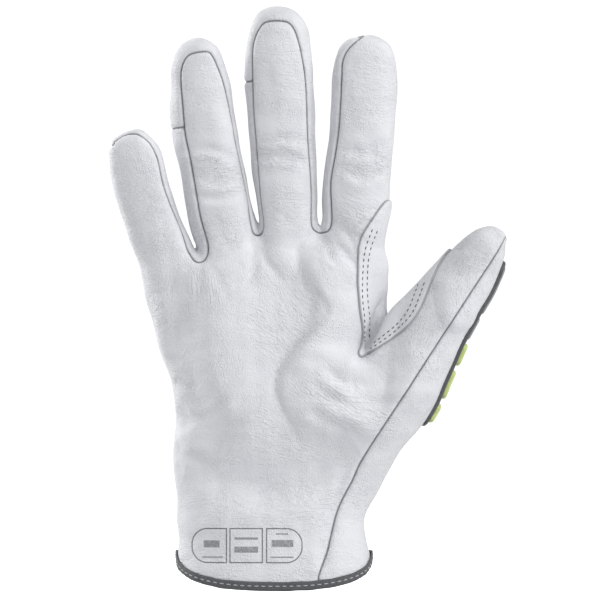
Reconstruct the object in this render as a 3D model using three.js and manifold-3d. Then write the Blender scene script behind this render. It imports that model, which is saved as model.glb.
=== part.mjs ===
// Cut-resistant leather work glove for the right hand, kept in its worn form.
// Millimetres, +Z up to the fingertips, the palm faces -Y and the thumb points to +X.
// The origin is the middle of the wrist opening, level with the lowest point of the hem.

import * as THREE from 'three';
import { mergeVertices } from 'three/addons/utils/BufferGeometryUtils.js';
import Module from 'manifold-3d';

const wasm = await Module();
wasm.setup();

// Driving sizes of the hand
const PALM_LENGTH = 147;
const PALM_WIDTH = 102;
const PALM_DEPTH = 36;
const HEM_RISE = 13;
const LITTLE_LENGTH = 72.6;
const LITTLE_WIDTH = 24.4;
const LITTLE_DEPTH = 21;
const RING_LENGTH = 96.4;
const RING_WIDTH = 27.6;
const RING_DEPTH = 24;
const MIDDLE_LENGTH = 101.4;
const MIDDLE_WIDTH = 29.1;
const MIDDLE_DEPTH = 25;
const INDEX_LENGTH = 89.6;
const INDEX_WIDTH = 28.7;
const INDEX_DEPTH = 24;
const THUMB_LENGTH = 81.7;
const THUMB_WIDTH = 30;
const THUMB_DEPTH = 27;

// Driving sizes of the pieces
const LEATHER = 1.8;
const GAP = 0.3;
const PATCH_THICKNESS = 1.2;
const BINDING_STRIP = 1;
const BINDING_HEIGHT = 3.8;
const GUARD_PLATE = 1.3;
const GUARD_RIB = 2;
const GATHER_PITCH = 11;
const GATHER_DEPTH = 0.7;
const GATHER_HEIGHT = 29.4;
const FOLD_DEPTH = 4;

// Mesh fineness and the reach of the cutting solids
const PALM_SIDES = 24;
const PALM_STEPS = 12;
const DIGIT_SIDES = 12;
const PALM_SQUARENESS = 2.5;
const DIGIT_SQUARENESS = 2.25;
const FAR = 90;
const WRAP_END = 0.9;
const SEAM_EASE = 0.4;
const CROWN_HALF = 0.02;
const BEYOND_TIP = 1.25;
const BELOW_ROOT = -0.3;

// Palm sections from the hem up.
// rise is a share of PALM_LENGTH, left and right of PALM_WIDTH, front and back of PALM_DEPTH.
const PALM_ROWS = [
  { rise: -0.05, left: 0.42, right: 0.415, front: 0.69, back: 0.63 },
  { rise: 0.09, left: 0.418, right: 0.41, front: 0.68, back: 0.62 },
  { rise: 0.155, left: 0.4, right: 0.383, front: 0.61, back: 0.57 },
  { rise: 0.2, left: 0.405, right: 0.378, front: 0.59, back: 0.54 },
  { rise: 0.27, left: 0.408, right: 0.413, front: 0.57, back: 0.54 },
  { rise: 0.375, left: 0.427, right: 0.46, front: 0.55, back: 0.53 },
  { rise: 0.5, left: 0.411, right: 0.46, front: 0.53, back: 0.52 },
  { rise: 0.6, left: 0.431, right: 0.46, front: 0.52, back: 0.51 },
  { rise: 0.7, left: 0.483, right: 0.46, front: 0.49, back: 0.49 },
  { rise: 0.785, left: 0.5, right: 0.472, front: 0.45, back: 0.46 },
  { rise: 0.87, left: 0.528, right: 0.475, front: 0.4, back: 0.42 },
  { rise: 0.92, left: 0.52, right: 0.468, front: 0.36, back: 0.37 },
  { rise: 0.955, left: 0.48, right: 0.45, front: 0.28, back: 0.29 },
];

// Digits: root as shares of PALM_WIDTH and PALM_LENGTH, tilt in degrees from upright,
// level is the middle's depth at the root and lean what the tip gains, as shares of the length.
// inset is where the front seam runs inside the outline, as a share of the width,
// and null where the palm leather wraps round that side. crown is the seam's top.
// Rows: rise is a share of the length, left and right of the width, depth of the depth.
const DIGITS = {
  little: {
    length: LITTLE_LENGTH, width: LITTLE_WIDTH, depth: LITTLE_DEPTH,
    root: { across: -0.364, rise: 0.867 }, tilt: -19.5, level: 0, lean: -0.12,
    inset: { left: null, right: 0.1 }, crown: 0.977, joint: 0.94,
    rows: [
      { rise: -0.3, left: 0.53, right: 0.37, depth: 0.95 },
      { rise: 0, left: 0.69, right: 0.37, depth: 1.02 },
      { rise: 0.2, left: 0.64, right: 0.375, depth: 1 },
      { rise: 0.4, left: 0.66, right: 0.325, depth: 1 },
      { rise: 0.6, left: 0.65, right: 0.35, depth: 0.97 },
      { rise: 0.75, left: 0.6, right: 0.385, depth: 0.95 },
      { rise: 0.86, left: 0.535, right: 0.365, depth: 0.87 },
      { rise: 0.94, left: 0.455, right: 0.27, depth: 0.68 },
      { rise: 0.985, left: 0.3, right: 0.17, depth: 0.36 },
    ],
  },
  ring: {
    length: RING_LENGTH, width: RING_WIDTH, depth: RING_DEPTH,
    root: { across: -0.189, rise: 0.948 }, tilt: -8.4, level: 0, lean: -0.11,
    inset: { left: 0.19, right: 0.08 }, crown: 0.93, joint: 0.615,
    rows: [
      { rise: -0.3, left: 0.42, right: 0.46, depth: 0.95 },
      { rise: 0, left: 0.4, right: 0.56, depth: 1.02 },
      { rise: 0.1, left: 0.485, right: 0.56, depth: 1 },
      { rise: 0.17, left: 0.525, right: 0.52, depth: 1 },
      { rise: 0.35, left: 0.553, right: 0.467, depth: 1 },
      { rise: 0.58, left: 0.585, right: 0.435, depth: 0.96 },
      { rise: 0.7, left: 0.57, right: 0.43, depth: 0.95 },
      { rise: 0.8, left: 0.5, right: 0.42, depth: 0.92 },
      { rise: 0.88, left: 0.455, right: 0.38, depth: 0.84 },
      { rise: 0.94, left: 0.365, right: 0.315, depth: 0.68 },
      { rise: 0.985, left: 0.21, right: 0.16, depth: 0.36 },
    ],
  },
  middle: {
    length: MIDDLE_LENGTH, width: MIDDLE_WIDTH, depth: MIDDLE_DEPTH,
    root: { across: 0.04, rise: 1 }, tilt: -1.7, level: 0, lean: -0.1,
    inset: { left: 0.1, right: 0.1 }, crown: 0.931, joint: 0.683,
    rows: [
      { rise: -0.3, left: 0.38, right: 0.46, depth: 0.93 },
      { rise: 0.04, left: 0.385, right: 0.56, depth: 1 },
      { rise: 0.09, left: 0.365, right: 0.512, depth: 1 },
      { rise: 0.2, left: 0.41, right: 0.512, depth: 1 },
      { rise: 0.35, left: 0.458, right: 0.52, depth: 0.99 },
      { rise: 0.55, left: 0.487, right: 0.512, depth: 0.97 },
      { rise: 0.72, left: 0.508, right: 0.503, depth: 0.95 },
      { rise: 0.82, left: 0.487, right: 0.493, depth: 0.91 },
      { rise: 0.9, left: 0.425, right: 0.45, depth: 0.8 },
      { rise: 0.95, left: 0.345, right: 0.35, depth: 0.63 },
      { rise: 0.985, left: 0.22, right: 0.21, depth: 0.38 },
    ],
  },
  index: {
    length: INDEX_LENGTH, width: INDEX_WIDTH, depth: INDEX_DEPTH,
    root: { across: 0.327, rise: 1 }, tilt: 3.5, level: 0, lean: -0.1,
    inset: { left: 0.135, right: null }, crown: 1.03, joint: 0.985,
    rows: [
      { rise: -0.3, left: 0.44, right: 0.4, depth: 0.95 },
      { rise: 0.04, left: 0.53, right: 0.475, depth: 1.02 },
      { rise: 0.1, left: 0.49, right: 0.49, depth: 1 },
      { rise: 0.2, left: 0.505, right: 0.52, depth: 1 },
      { rise: 0.3, left: 0.51, right: 0.5, depth: 1 },
      { rise: 0.45, left: 0.475, right: 0.507, depth: 0.98 },
      { rise: 0.65, left: 0.46, right: 0.515, depth: 0.96 },
      { rise: 0.8, left: 0.46, right: 0.51, depth: 0.92 },
      { rise: 0.88, left: 0.425, right: 0.47, depth: 0.84 },
      { rise: 0.94, left: 0.35, right: 0.39, depth: 0.68 },
      { rise: 0.985, left: 0.17, right: 0.22, depth: 0.36 },
    ],
  },
  thumb: {
    length: THUMB_LENGTH, width: THUMB_WIDTH, depth: THUMB_DEPTH,
    root: { across: 0.502, rise: 0.578 }, tilt: 33.1, level: -0.04, lean: -0.2,
    rows: [
      { rise: -0.5, left: 0.6, right: 0.52, depth: 1.16 },
      { rise: -0.25, left: 0.71, right: 0.545, depth: 1.23 },
      { rise: 0, left: 0.7, right: 0.59, depth: 1.22 },
      { rise: 0.15, left: 0.645, right: 0.535, depth: 1.12 },
      { rise: 0.35, left: 0.593, right: 0.45, depth: 1.02 },
      { rise: 0.55, left: 0.53, right: 0.4, depth: 0.98 },
      { rise: 0.7, left: 0.46, right: 0.37, depth: 0.94 },
      { rise: 0.82, left: 0.4, right: 0.325, depth: 0.86 },
      { rise: 0.9, left: 0.34, right: 0.265, depth: 0.75 },
      { rise: 0.96, left: 0.235, right: 0.185, depth: 0.54 },
      { rise: 0.99, left: 0.135, right: 0.14, depth: 0.3 },
    ],
  },
};

// How far the strips between the fingers may reach from a finger's middle, as shares of its
// width: up its inner side, over its tip, and up the next finger's outer side
const STRIP_REACH = { inner: 0.56, tip: 0.7, outer: 0.64 };

// Reach of the palm plate, and the bottoms of the three finger crotches that it climbs to,
// as shares of PALM_WIDTH and PALM_LENGTH
const PALM_PLATE = { left: -0.75, right: 0.5, thumbRise: 0.6, littleRise: 0.88 };
const CROTCHES = [
  { from: -0.335, to: -0.27, rise: 0.951 },
  { from: -0.09, to: -0.05, rise: 1.029 },
  { from: 0.16, to: 0.23, rise: 1.035 },
];

// Long seam between the palm leather and the thumb side of the back, from the thumb's root
// down to the hem, as shares of PALM_WIDTH and PALM_LENGTH. On the thumb it runs straight,
// THUMB_SEAM_OFFSET outside its middle. THUMB_WEB is how far the palm leather reaches inside.
const THUMB_SEAM_OFFSET = 0.143;
const THUMB_WEB = 1.1;
const SIDE_SEAM = [
  { across: 0.335, rise: 0.353 },
  { across: 0.298, rise: 0.306 },
  { across: 0.273, rise: 0.269 },
  { across: 0.256, rise: 0.22 },
  { across: 0.24, rise: 0.159 },
  { across: 0.215, rise: 0.098 },
  { across: 0.18, rise: 0.035 },
  { across: 0.16, rise: -0.1 },
];

// Saddle patch over the thumb crotch, as shares of PALM_WIDTH and PALM_LENGTH
const PATCH_OUTLINE = [
  { across: 0.36, rise: 0.674 },
  { across: 0.381, rise: 0.674 },
  { across: 0.455, rise: 0.715 },
  { across: 0.535, rise: 0.76 },
  { across: 0.6, rise: 0.81 },
  { across: 0.632, rise: 0.868 },
  { across: 0.665, rise: 0.93 },
  { across: 0.722, rise: 0.983 },
  { across: 0.76, rise: 1.02 },
  { across: 0.7, rise: 1.1 },
  { across: 0.53, rise: 1.13 },
  { across: 0.472, rise: 1.122 },
  { across: 0.42, rise: 1.09 },
  { across: 0.365, rise: 1.025 },
  { across: 0.345, rise: 0.96 },
  { across: 0.343, rise: 0.87 },
  { across: 0.36, rise: 0.755 },
  { across: 0.348, rise: 0.69 },
];

// Folds worn into the front: each runs from one place to another on the palm.
// Places are shares of PALM_WIDTH and PALM_LENGTH, reach of PALM_WIDTH, depth of FOLD_DEPTH,
// and a negative depth is a swell.
const FOLDS = [
  { across: 0.106, rise: 1.01, toAcross: 0.176, toRise: 0.864, reach: 0.06, depth: 0.55 },
  { across: 0.176, rise: 0.864, toAcross: 0.106, toRise: 0.726, reach: 0.07, depth: 0.7 },
  { across: 0.106, rise: 0.726, toAcross: 0.027, toRise: 0.529, reach: 0.09, depth: 0.75 },
  { across: -0.377, rise: 0.677, toAcross: -0.306, toRise: 0.454, reach: 0.06, depth: 0.5 },
  { across: -0.306, rise: 0.454, toAcross: -0.181, toRise: 0.306, reach: 0.07, depth: 0.5 },
  { across: -0.181, rise: 0.306, toAcross: 0.215, toRise: 0.367, reach: 0.09, depth: 0.5 },
  { across: -0.231, rise: 0.76, toAcross: -0.22, toRise: 0.62, reach: 0.13, depth: -0.4 },
  { across: 0.25, rise: 0.6, toAcross: 0.3, toRise: 0.5, reach: 0.13, depth: -0.3 },
];

// Guard over the back of the thumb. THUMB_GUARD_TURN is how far it faces back, in degrees.
// from and to are shares of the thumb's length, and the others of its width.
const THUMB_GUARD_TURN = 42;
const THUMB_GUARD = { from: -0.08, to: 0.865, low: -0.385, high: 0.42, reach: 1.4 };
const THUMB_RIBS = [
  { from: -0.045, to: 0.065, low: -0.36, high: 0.3, lime: true },
  { from: 0.09, to: 0.25, low: -0.36, high: 0.36, lime: true },
  { from: 0.275, to: 0.4, low: -0.36, high: 0.36, lime: true },
  { from: 0.425, to: 0.55, low: -0.36, high: 0.36, lime: false },
  { from: 0.575, to: 0.84, low: -0.36, high: 0.32, lime: false },
];

// Guard over the back of the hand, as shares of PALM_WIDTH and PALM_LENGTH.
// HAND_GUARD_EDGE is how far behind the hand's middle it starts, as a share of PALM_DEPTH.
const HAND_GUARD_EDGE = 0.19;
const HAND_GUARD_OUTLINE = [
  { across: -0.62, rise: 0.68 },
  { across: -0.4, rise: 0.6 },
  { across: 0.1, rise: 0.56 },
  { across: 0.24, rise: 0.66 },
  { across: 0.27, rise: 0.93 },
  { across: 0.2, rise: 0.985 },
  { across: -0.32, rise: 0.91 },
  { across: -0.62, rise: 0.87 },
];
const HAND_BARS = [
  { from: -0.6, to: -0.43, low: 0.71, high: 0.85, lime: false },
  { from: -0.4, to: -0.26, low: 0.65, high: 0.88, lime: true },
  { from: -0.235, to: -0.09, low: 0.62, high: 0.91, lime: true },
  { from: -0.065, to: 0.08, low: 0.605, high: 0.925, lime: true },
  { from: 0.105, to: 0.215, low: 0.66, high: 0.93, lime: true },
];

const WHITE_LEATHER = new THREE.MeshStandardMaterial({ color: 0xdcdde1, roughness: 0.75 });
const DARK_BINDING = new THREE.MeshStandardMaterial({ color: 0x4c4d52, roughness: 0.9 });
const GREY_RUBBER = new THREE.MeshStandardMaterial({ color: 0x6f7277, roughness: 0.6 });
const PALE_RUBBER = new THREE.MeshStandardMaterial({ color: 0x9b9ea2, roughness: 0.6 });
const LIME_RUBBER = new THREE.MeshStandardMaterial({ color: 0xc4e04a, roughness: 0.5 });

const group = new THREE.Group();

// Turns a closed geometry into a solid that can be joined and cut
function solidOf(geometry) {
  const bare = new THREE.BufferGeometry();
  bare.setAttribute('position', geometry.getAttribute('position'));
  if (geometry.index) bare.setIndex(geometry.index);
  const merged = mergeVertices(bare, 1e-5);
  return new wasm.Manifold(new wasm.Mesh({
    numProp: 3,
    vertProperties: new Float32Array(merged.attributes.position.array),
    triVerts: new Uint32Array(merged.index.array),
  }));
}

// Adds a finished solid to the model as a named mesh
function addPiece(name, solid, material) {
  const { vertProperties, triVerts } = solid.getMesh();
  const geometry = new THREE.BufferGeometry();
  geometry.setAttribute('position', new THREE.BufferAttribute(new Float32Array(vertProperties), 3));
  geometry.setIndex(new THREE.BufferAttribute(new Uint32Array(triVerts), 1));
  geometry.computeVertexNormals();
  const mesh = new THREE.Mesh(geometry, material);
  mesh.name = name;
  group.add(mesh);
}

// Joins rings of equal count into a closed solid, each end closed on its middle point
function skinOf(rings) {
  const count = rings[0].length;
  const positions = rings.flat().flatMap((point) => [point.x, point.y, point.z]);
  const triangles = [];
  for (let row = 0; row + 1 < rings.length; row += 1) {
    for (let side = 0; side < count; side += 1) {
      const next = (side + 1) % count;
      const a = row * count + side;
      const b = row * count + next;
      triangles.push(a, b, b + count, a, b + count, a + count);
    }
  }
  const first = rings[0];
  const last = rings[rings.length - 1];
  [first, last].forEach((ring, end) => {
    const middle = ring.reduce((sum, point) => sum.clone().add(point)).divideScalar(count);
    const centre = positions.length / 3;
    const start = end === 0 ? 0 : (rings.length - 1) * count;
    positions.push(middle.x, middle.y, middle.z);
    for (let side = 0; side < count; side += 1) {
      const next = (side + 1) % count;
      if (end === 0) triangles.push(centre, start + next, start + side);
      else triangles.push(centre, start + side, start + next);
    }
  });
  const geometry = new THREE.BufferGeometry();
  geometry.setAttribute('position', new THREE.Float32BufferAttribute(positions, 3));
  geometry.setIndex(triangles);
  return solidOf(geometry);
}

// Value between the rows of a table at a given rise
function between(rows, rise, column) {
  const above = rows.findIndex((row) => row.rise >= rise);
  if (above < 0) return rows[rows.length - 1][column];
  if (above === 0) return rows[0][column];
  const low = rows[above - 1];
  const high = rows[above];
  const share = (rise - low.rise) / (high.rise - low.rise);
  return THREE.MathUtils.lerp(low[column], high[column], share);
}

// One point of a rounded section whose four reaches may differ
function sectionPoint(turn, reach, squareness) {
  const bend = (value) => Math.sign(value) * Math.abs(value) ** (2 / squareness);
  const side = bend(Math.cos(turn));
  const depth = bend(Math.sin(turn));
  return {
    side: side * (side > 0 ? reach.right : reach.left),
    depth: depth * (depth > 0 ? reach.back : reach.front),
  };
}

// How far the worn folds push the front surface back at a place on the palm
function foldAt(x, z) {
  let push = 0;
  for (const fold of FOLDS) {
    const start = new THREE.Vector2(fold.across * PALM_WIDTH, fold.rise * PALM_LENGTH);
    const run = new THREE.Vector2(fold.toAcross * PALM_WIDTH, fold.toRise * PALM_LENGTH).sub(start);
    const offset = new THREE.Vector2(x, z).sub(start);
    const along = THREE.MathUtils.clamp(offset.dot(run) / run.lengthSq(), 0, 1);
    const away = offset.sub(run.multiplyScalar(along)).length();
    push += fold.depth * FOLD_DEPTH * Math.exp(-((away / (fold.reach * PALM_WIDTH)) ** 2));
  }
  return push;
}

// Gathers that the elastic draws into the back of the wrist
function gatherAt(x, z) {
  const near = Math.exp(-(((z - GATHER_HEIGHT) / GATHER_PITCH) ** 2));
  return GATHER_DEPTH * near * Math.cos((2 * Math.PI * x) / GATHER_PITCH);
}

// The palm from the hem to the finger roots, larger all round by grow
function palmSolid(grow) {
  const rings = [];
  const start = PALM_ROWS[0].rise;
  const end = PALM_ROWS[PALM_ROWS.length - 1].rise;
  for (let step = 0; step <= PALM_STEPS; step += 1) {
    const rise = THREE.MathUtils.lerp(start, end, step / PALM_STEPS);
    const reach = {
      left: between(PALM_ROWS, rise, 'left') * PALM_WIDTH + grow,
      right: between(PALM_ROWS, rise, 'right') * PALM_WIDTH + grow,
      front: between(PALM_ROWS, rise, 'front') * PALM_DEPTH + grow,
      back: between(PALM_ROWS, rise, 'back') * PALM_DEPTH + grow,
    };
    const top = step === PALM_STEPS ? grow : 0;
    const foot = step === 0 ? Math.abs(grow) : 0;
    const ring = [];
    for (let side = 0; side < PALM_SIDES; side += 1) {
      const turn = (2 * Math.PI * side) / PALM_SIDES;
      const point = sectionPoint(turn, reach, PALM_SQUARENESS);
      const x = point.side;
      const z = rise * PALM_LENGTH + top - foot;
      const front = Math.max(0, -Math.sin(turn));
      const rear = Math.max(0, Math.sin(turn));
      const y = point.depth + front * foldAt(x, z) + rear * gatherAt(x, z);
      ring.push(new THREE.Vector3(x, y, z));
    }
    rings.push(ring);
  }
  return skinOf(rings);
}

// Place in a digit's own frame: side across it, depth through it, rise along it
function digitPoint(digit, side, depth, rise) {
  const tilt = THREE.MathUtils.degToRad(digit.tilt);
  const along = rise * digit.length;
  const bow = digit.level + digit.lean * Math.sign(rise) * Math.abs(rise) ** 1.5;
  return new THREE.Vector3(
    digit.root.across * PALM_WIDTH + along * Math.sin(tilt) + side * Math.cos(tilt),
    depth + bow * digit.length,
    digit.root.rise * PALM_LENGTH + along * Math.cos(tilt) - side * Math.sin(tilt),
  );
}

// One digit with its rounded tip, larger all round by grow
function digitSolid(digit, grow) {
  const stretch = 1 + grow / digit.length;
  const rings = digit.rows.map((row) => {
    const reach = {
      left: row.left * digit.width + grow,
      right: row.right * digit.width + grow,
      front: row.depth * digit.depth / 2 + grow,
      back: row.depth * digit.depth / 2 + grow,
    };
    const rise = row.rise > 0 ? row.rise * stretch : row.rise;
    const ring = [];
    for (let side = 0; side < DIGIT_SIDES; side += 1) {
      const turn = (2 * Math.PI * side) / DIGIT_SIDES;
      const point = sectionPoint(turn, reach, DIGIT_SQUARENESS);
      const place = digitPoint(digit, point.side, point.depth, rise);
      if (turn > Math.PI) place.y -= Math.sin(turn) * foldAt(place.x, place.z);
      ring.push(place);
    }
    return ring;
  });
  return skinOf(rings);
}

// The whole hand form, larger all round by grow
function handSolid(grow) {
  return Object.values(DIGITS).reduce(
    (hand, digit) => hand.add(digitSolid(digit, grow)),
    palmSolid(grow),
  );
}

// A four-sided bar in a digit's frame, from rows of rise, left, right, front and back
function digitBar(digit, rows) {
  return skinOf(rows.map((row) => [
    digitPoint(digit, row.right, row.front, row.rise),
    digitPoint(digit, row.right, row.back, row.rise),
    digitPoint(digit, row.left, row.back, row.rise),
    digitPoint(digit, row.left, row.front, row.rise),
  ]));
}

// The part of a finger that its front leather covers, from the seam line on each side.
// The seam's inset eases off towards the crown, by SEAM_EASE, and a wrapped side has none
// until WRAP_END. back is how deep the cut goes: 0 stops at the finger's middle.
function fingerPlate(finger, grow, back) {
  const scale = finger.crown + grow / finger.length;
  const rows = finger.rows.map((row) => {
    const edge = (side) => {
      const wrapped = finger.inset[side] === null;
      if (wrapped && row.rise < WRAP_END) return finger.width;
      const inset = wrapped ? 0 : finger.inset[side] * (1 - SEAM_EASE * Math.max(0, row.rise) ** 3);
      return Math.max(row[side] - inset, CROWN_HALF) * finger.width + grow;
    };
    return {
      rise: row.rise > 0 ? row.rise * scale : row.rise,
      left: -edge('left'),
      right: edge('right'),
      front: -FAR,
      back,
    };
  });
  return digitBar(finger, rows);
}

// A straight block in a digit's frame that goes right through it
function digitBlock(digit, from, to, left, right, back = FAR) {
  const side = { left: left * digit.width, right: right * digit.width, front: -FAR, back };
  return digitBar(digit, [{ rise: from, ...side }, { rise: to, ...side }]);
}

// An outline on the palm's front view, cut through from one depth to another
function prismOf(points, from, to) {
  const shape = new THREE.Shape(points.map((point) => new THREE.Vector2(point.x, point.z)));
  const geometry = new THREE.ExtrudeGeometry(shape, { depth: to - from, bevelEnabled: false });
  geometry.rotateX(Math.PI / 2);
  geometry.translate(0, to, 0);
  return solidOf(geometry);
}

// A place on the palm's front view, from its shares of the width and the length
function palmPlace(place) {
  return { x: place.across * PALM_WIDTH, z: place.rise * PALM_LENGTH };
}

// The part of the palm that the palm leather covers, up to the finger crotches
function palmPlate(grow, back) {
  const left = PALM_PLATE.left * PALM_WIDTH;
  const right = PALM_PLATE.right * PALM_WIDTH;
  const seam = SIDE_SEAM.map(palmPlace).map(({ x, z }) => ({ x: x + grow, z })).reverse();
  const crotches = CROTCHES.flatMap(({ from, to, rise }) => [
    { x: from * PALM_WIDTH, z: rise * PALM_LENGTH + grow },
    { x: to * PALM_WIDTH, z: rise * PALM_LENGTH + grow },
  ]);
  const outline = [
    { x: left, z: -FAR },
    { x: seam[0].x, z: -FAR },
    ...seam,
    { x: right, z: PALM_PLATE.thumbRise * PALM_LENGTH },
    { x: right, z: CROTCHES[2].rise * PALM_LENGTH + grow },
    ...crotches.reverse(),
    { x: left, z: PALM_PLATE.littleRise * PALM_LENGTH },
  ];
  return prismOf(outline, -FAR, back);
}

// The palm and the finger fronts, cut from the front to a given depth
function handPlates(grow, back) {
  const { little, ring, middle, index } = DIGITS;
  return [little, ring, middle, index].reduce(
    (region, finger) => region.add(fingerPlate(finger, grow, back)),
    palmPlate(grow, back),
  );
}

// Everything that the palm leather covers: the plates' front half and the thumb's front
function frontRegion(grow) {
  const { thumb } = DIGITS;
  const seam = THUMB_SEAM_OFFSET + grow / thumb.width;
  const start = thumb.rows[0].rise;
  return handPlates(grow, grow).add(digitBlock(thumb, start, BEYOND_TIP, -THUMB_WEB, seam, grow));
}

// The strip between two fingers: it climbs the inner side of the first finger,
// passes over its tip to its outer joint and climbs the next finger to that one's joint.
function betweenFingers(first, next, grow) {
  const slack = grow / first.length;
  const top = next.joint - GAP / next.length + slack;
  return digitBlock(first, BELOW_ROOT, BEYOND_TIP, 0, STRIP_REACH.inner)
    .add(digitBlock(first, first.joint - slack, BEYOND_TIP, -STRIP_REACH.tip, CROWN_HALF))
    .add(digitBlock(next, BELOW_ROOT, top, -STRIP_REACH.outer, CROWN_HALF))
    .subtract(handPlates(GAP - grow, FAR));
}

// Everything below the hem line, raised by lift. The hem dips at the front of the wrist.
function belowHem(lift) {
  const reach = PALM_ROWS[0].front * PALM_DEPTH;
  const dip = (y) => HEM_RISE + (y < 0 ? (HEM_RISE * y) / reach : 0) + lift;
  const profile = [
    new THREE.Vector2(-FAR, -2 * FAR),
    new THREE.Vector2(FAR, -2 * FAR),
    new THREE.Vector2(FAR, dip(FAR)),
    new THREE.Vector2(0, dip(0)),
    new THREE.Vector2(-FAR, dip(-FAR)),
  ];
  const options = { depth: 2 * FAR, bevelEnabled: false };
  const geometry = new THREE.ExtrudeGeometry(new THREE.Shape(profile), options);
  geometry.rotateX(Math.PI / 2);
  geometry.rotateZ(Math.PI / 2);
  geometry.translate(-FAR, 0, 0);
  return solidOf(geometry);
}

// A block over the thumb's back, turned round the thumb to face its outer side
function thumbBlock(from, to, low, high) {
  const { thumb } = DIGITS;
  const turn = THREE.MathUtils.degToRad(THUMB_GUARD_TURN);
  const corner = (out, across, rise) => digitPoint(
    thumb,
    out * Math.cos(turn) - across * Math.sin(turn),
    out * Math.sin(turn) + across * Math.cos(turn),
    rise,
  );
  const reach = THUMB_GUARD.reach * thumb.width;
  return skinOf([from, to].map((rise) => [
    corner(0, low * thumb.width, rise),
    corner(reach, low * thumb.width, rise),
    corner(reach, high * thumb.width, rise),
    corner(0, high * thumb.width, rise),
  ]));
}

// Leather shell, open at the wrist
const hollow = handSolid(-LEATHER);
const hand = handSolid(0);
const shell = hand.subtract(hollow).subtract(belowHem(BINDING_STRIP + GAP));

const strips = [
  ['fourchette_little_ring', DIGITS.little, DIGITS.ring],
  ['fourchette_ring_middle', DIGITS.ring, DIGITS.middle],
  ['fourchette_middle_index', DIGITS.middle, DIGITS.index],
];

addPiece('palm_leather', shell.intersect(frontRegion(0)), WHITE_LEATHER);

const rest = shell.subtract(frontRegion(GAP));
let back = rest;
for (const [name, first, next] of strips) {
  addPiece(name, rest.intersect(betweenFingers(first, next, 0)), WHITE_LEATHER);
  back = back.subtract(betweenFingers(first, next, GAP));
}
addPiece('back_leather', back, WHITE_LEATHER);

// Saddle patch, laid over the thumb crotch
const clear = handSolid(GAP);
const patchRegion = prismOf(PATCH_OUTLINE.map(palmPlace), -FAR, FAR);
const patch = handSolid(GAP + PATCH_THICKNESS).intersect(patchRegion).subtract(clear);
addPiece('thumb_crotch_patch', patch, WHITE_LEATHER);

// Bound hem: a strip folded round the edge of the leather
const bound = palmSolid(GAP + BINDING_STRIP)
  .subtract(palmSolid(-LEATHER - GAP - BINDING_STRIP))
  .intersect(belowHem(BINDING_HEIGHT))
  .subtract(belowHem(0));
const slot = palmSolid(GAP)
  .subtract(palmSolid(-LEATHER - GAP))
  .subtract(belowHem(BINDING_STRIP));
addPiece('cuff_binding', bound.subtract(slot), DARK_BINDING);

// Guards: a plate that follows the hand, and ribs that stand on it
const plateTop = handSolid(GAP + GUARD_PLATE);
const ribBottom = handSolid(GAP + GUARD_PLATE + GAP);
const ribTop = handSolid(GAP + GUARD_PLATE + GAP + GUARD_RIB);

const thumbPlate = thumbBlock(THUMB_GUARD.from, THUMB_GUARD.to, THUMB_GUARD.low, THUMB_GUARD.high);
addPiece('thumb_guard_plate', plateTop.intersect(thumbPlate).subtract(clear), GREY_RUBBER);
THUMB_RIBS.forEach((rib, order) => {
  const block = thumbBlock(rib.from, rib.to, rib.low, rib.high);
  const material = rib.lime ? LIME_RUBBER : PALE_RUBBER;
  addPiece(`thumb_guard_rib_${order + 1}`, ribTop.intersect(block).subtract(ribBottom), material);
});

const guardEdge = HAND_GUARD_EDGE * PALM_DEPTH;
const handPlate = prismOf(HAND_GUARD_OUTLINE.map(palmPlace), guardEdge, FAR);
addPiece('hand_guard_plate', plateTop.intersect(handPlate).subtract(clear), GREY_RUBBER);
HAND_BARS.forEach((bar, order) => {
  const outline = [
    { across: bar.from, rise: bar.low },
    { across: bar.to, rise: bar.low },
    { across: bar.to, rise: bar.high },
    { across: bar.from, rise: bar.high },
  ];
  const block = prismOf(outline.map(palmPlace), guardEdge, FAR);
  const material = bar.lime ? LIME_RUBBER : PALE_RUBBER;
  addPiece(`hand_guard_rib_${order + 1}`, ribTop.intersect(block).subtract(ribBottom), material);
});

export default group;
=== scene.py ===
"""Looks of a leather work glove for the right hand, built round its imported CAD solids.

The glove is held as worn: fingers up (+Z), palm to the viewer (-Y), thumb to +X.
Shapes are worked out in millimetres and turned into metres when a piece is made.
"""

import logging
import math
from dataclasses import dataclass, field
from enum import Enum

import bpy
import numpy as np
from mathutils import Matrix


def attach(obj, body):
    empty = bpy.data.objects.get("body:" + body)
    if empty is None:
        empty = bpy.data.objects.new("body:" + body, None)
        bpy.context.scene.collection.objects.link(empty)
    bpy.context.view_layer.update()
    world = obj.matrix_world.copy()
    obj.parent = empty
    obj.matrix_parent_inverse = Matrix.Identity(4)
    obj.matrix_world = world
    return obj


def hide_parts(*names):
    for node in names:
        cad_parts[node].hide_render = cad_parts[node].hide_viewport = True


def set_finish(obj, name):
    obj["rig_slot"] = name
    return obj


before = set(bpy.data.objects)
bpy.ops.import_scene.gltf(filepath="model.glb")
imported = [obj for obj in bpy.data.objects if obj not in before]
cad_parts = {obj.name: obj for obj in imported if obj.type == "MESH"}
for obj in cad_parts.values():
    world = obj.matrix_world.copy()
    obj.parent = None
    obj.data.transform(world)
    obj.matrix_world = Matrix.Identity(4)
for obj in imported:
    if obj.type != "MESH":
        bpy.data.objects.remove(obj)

import openvdb
from mathutils import Vector

LOG = logging.getLogger("glove")

MM = 0.001
BODY = "root"

# The block of space that the form is worked out in, and its cell
SPACE_LOW = (-78.0, -36.0, -7.0)
SPACE_HIGH = (106.0, 36.0, 256.0)
CELL = 1.05
FAR_OUT = 12.0

# How softly the digits join the palm, each other, and end inside the palm
PALM_BLEND = 7.0
DIGIT_BLEND = 1.2
END_BLEND = 5.0
WEB_BLEND = 9.0
SKIN_INSET = 0.35
CROTCH_LOW = 139.5
CROTCH_HIGH = 151.5
PALM_SQUARENESS = 2.5
DIGIT_SQUARENESS = 2.25

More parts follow.
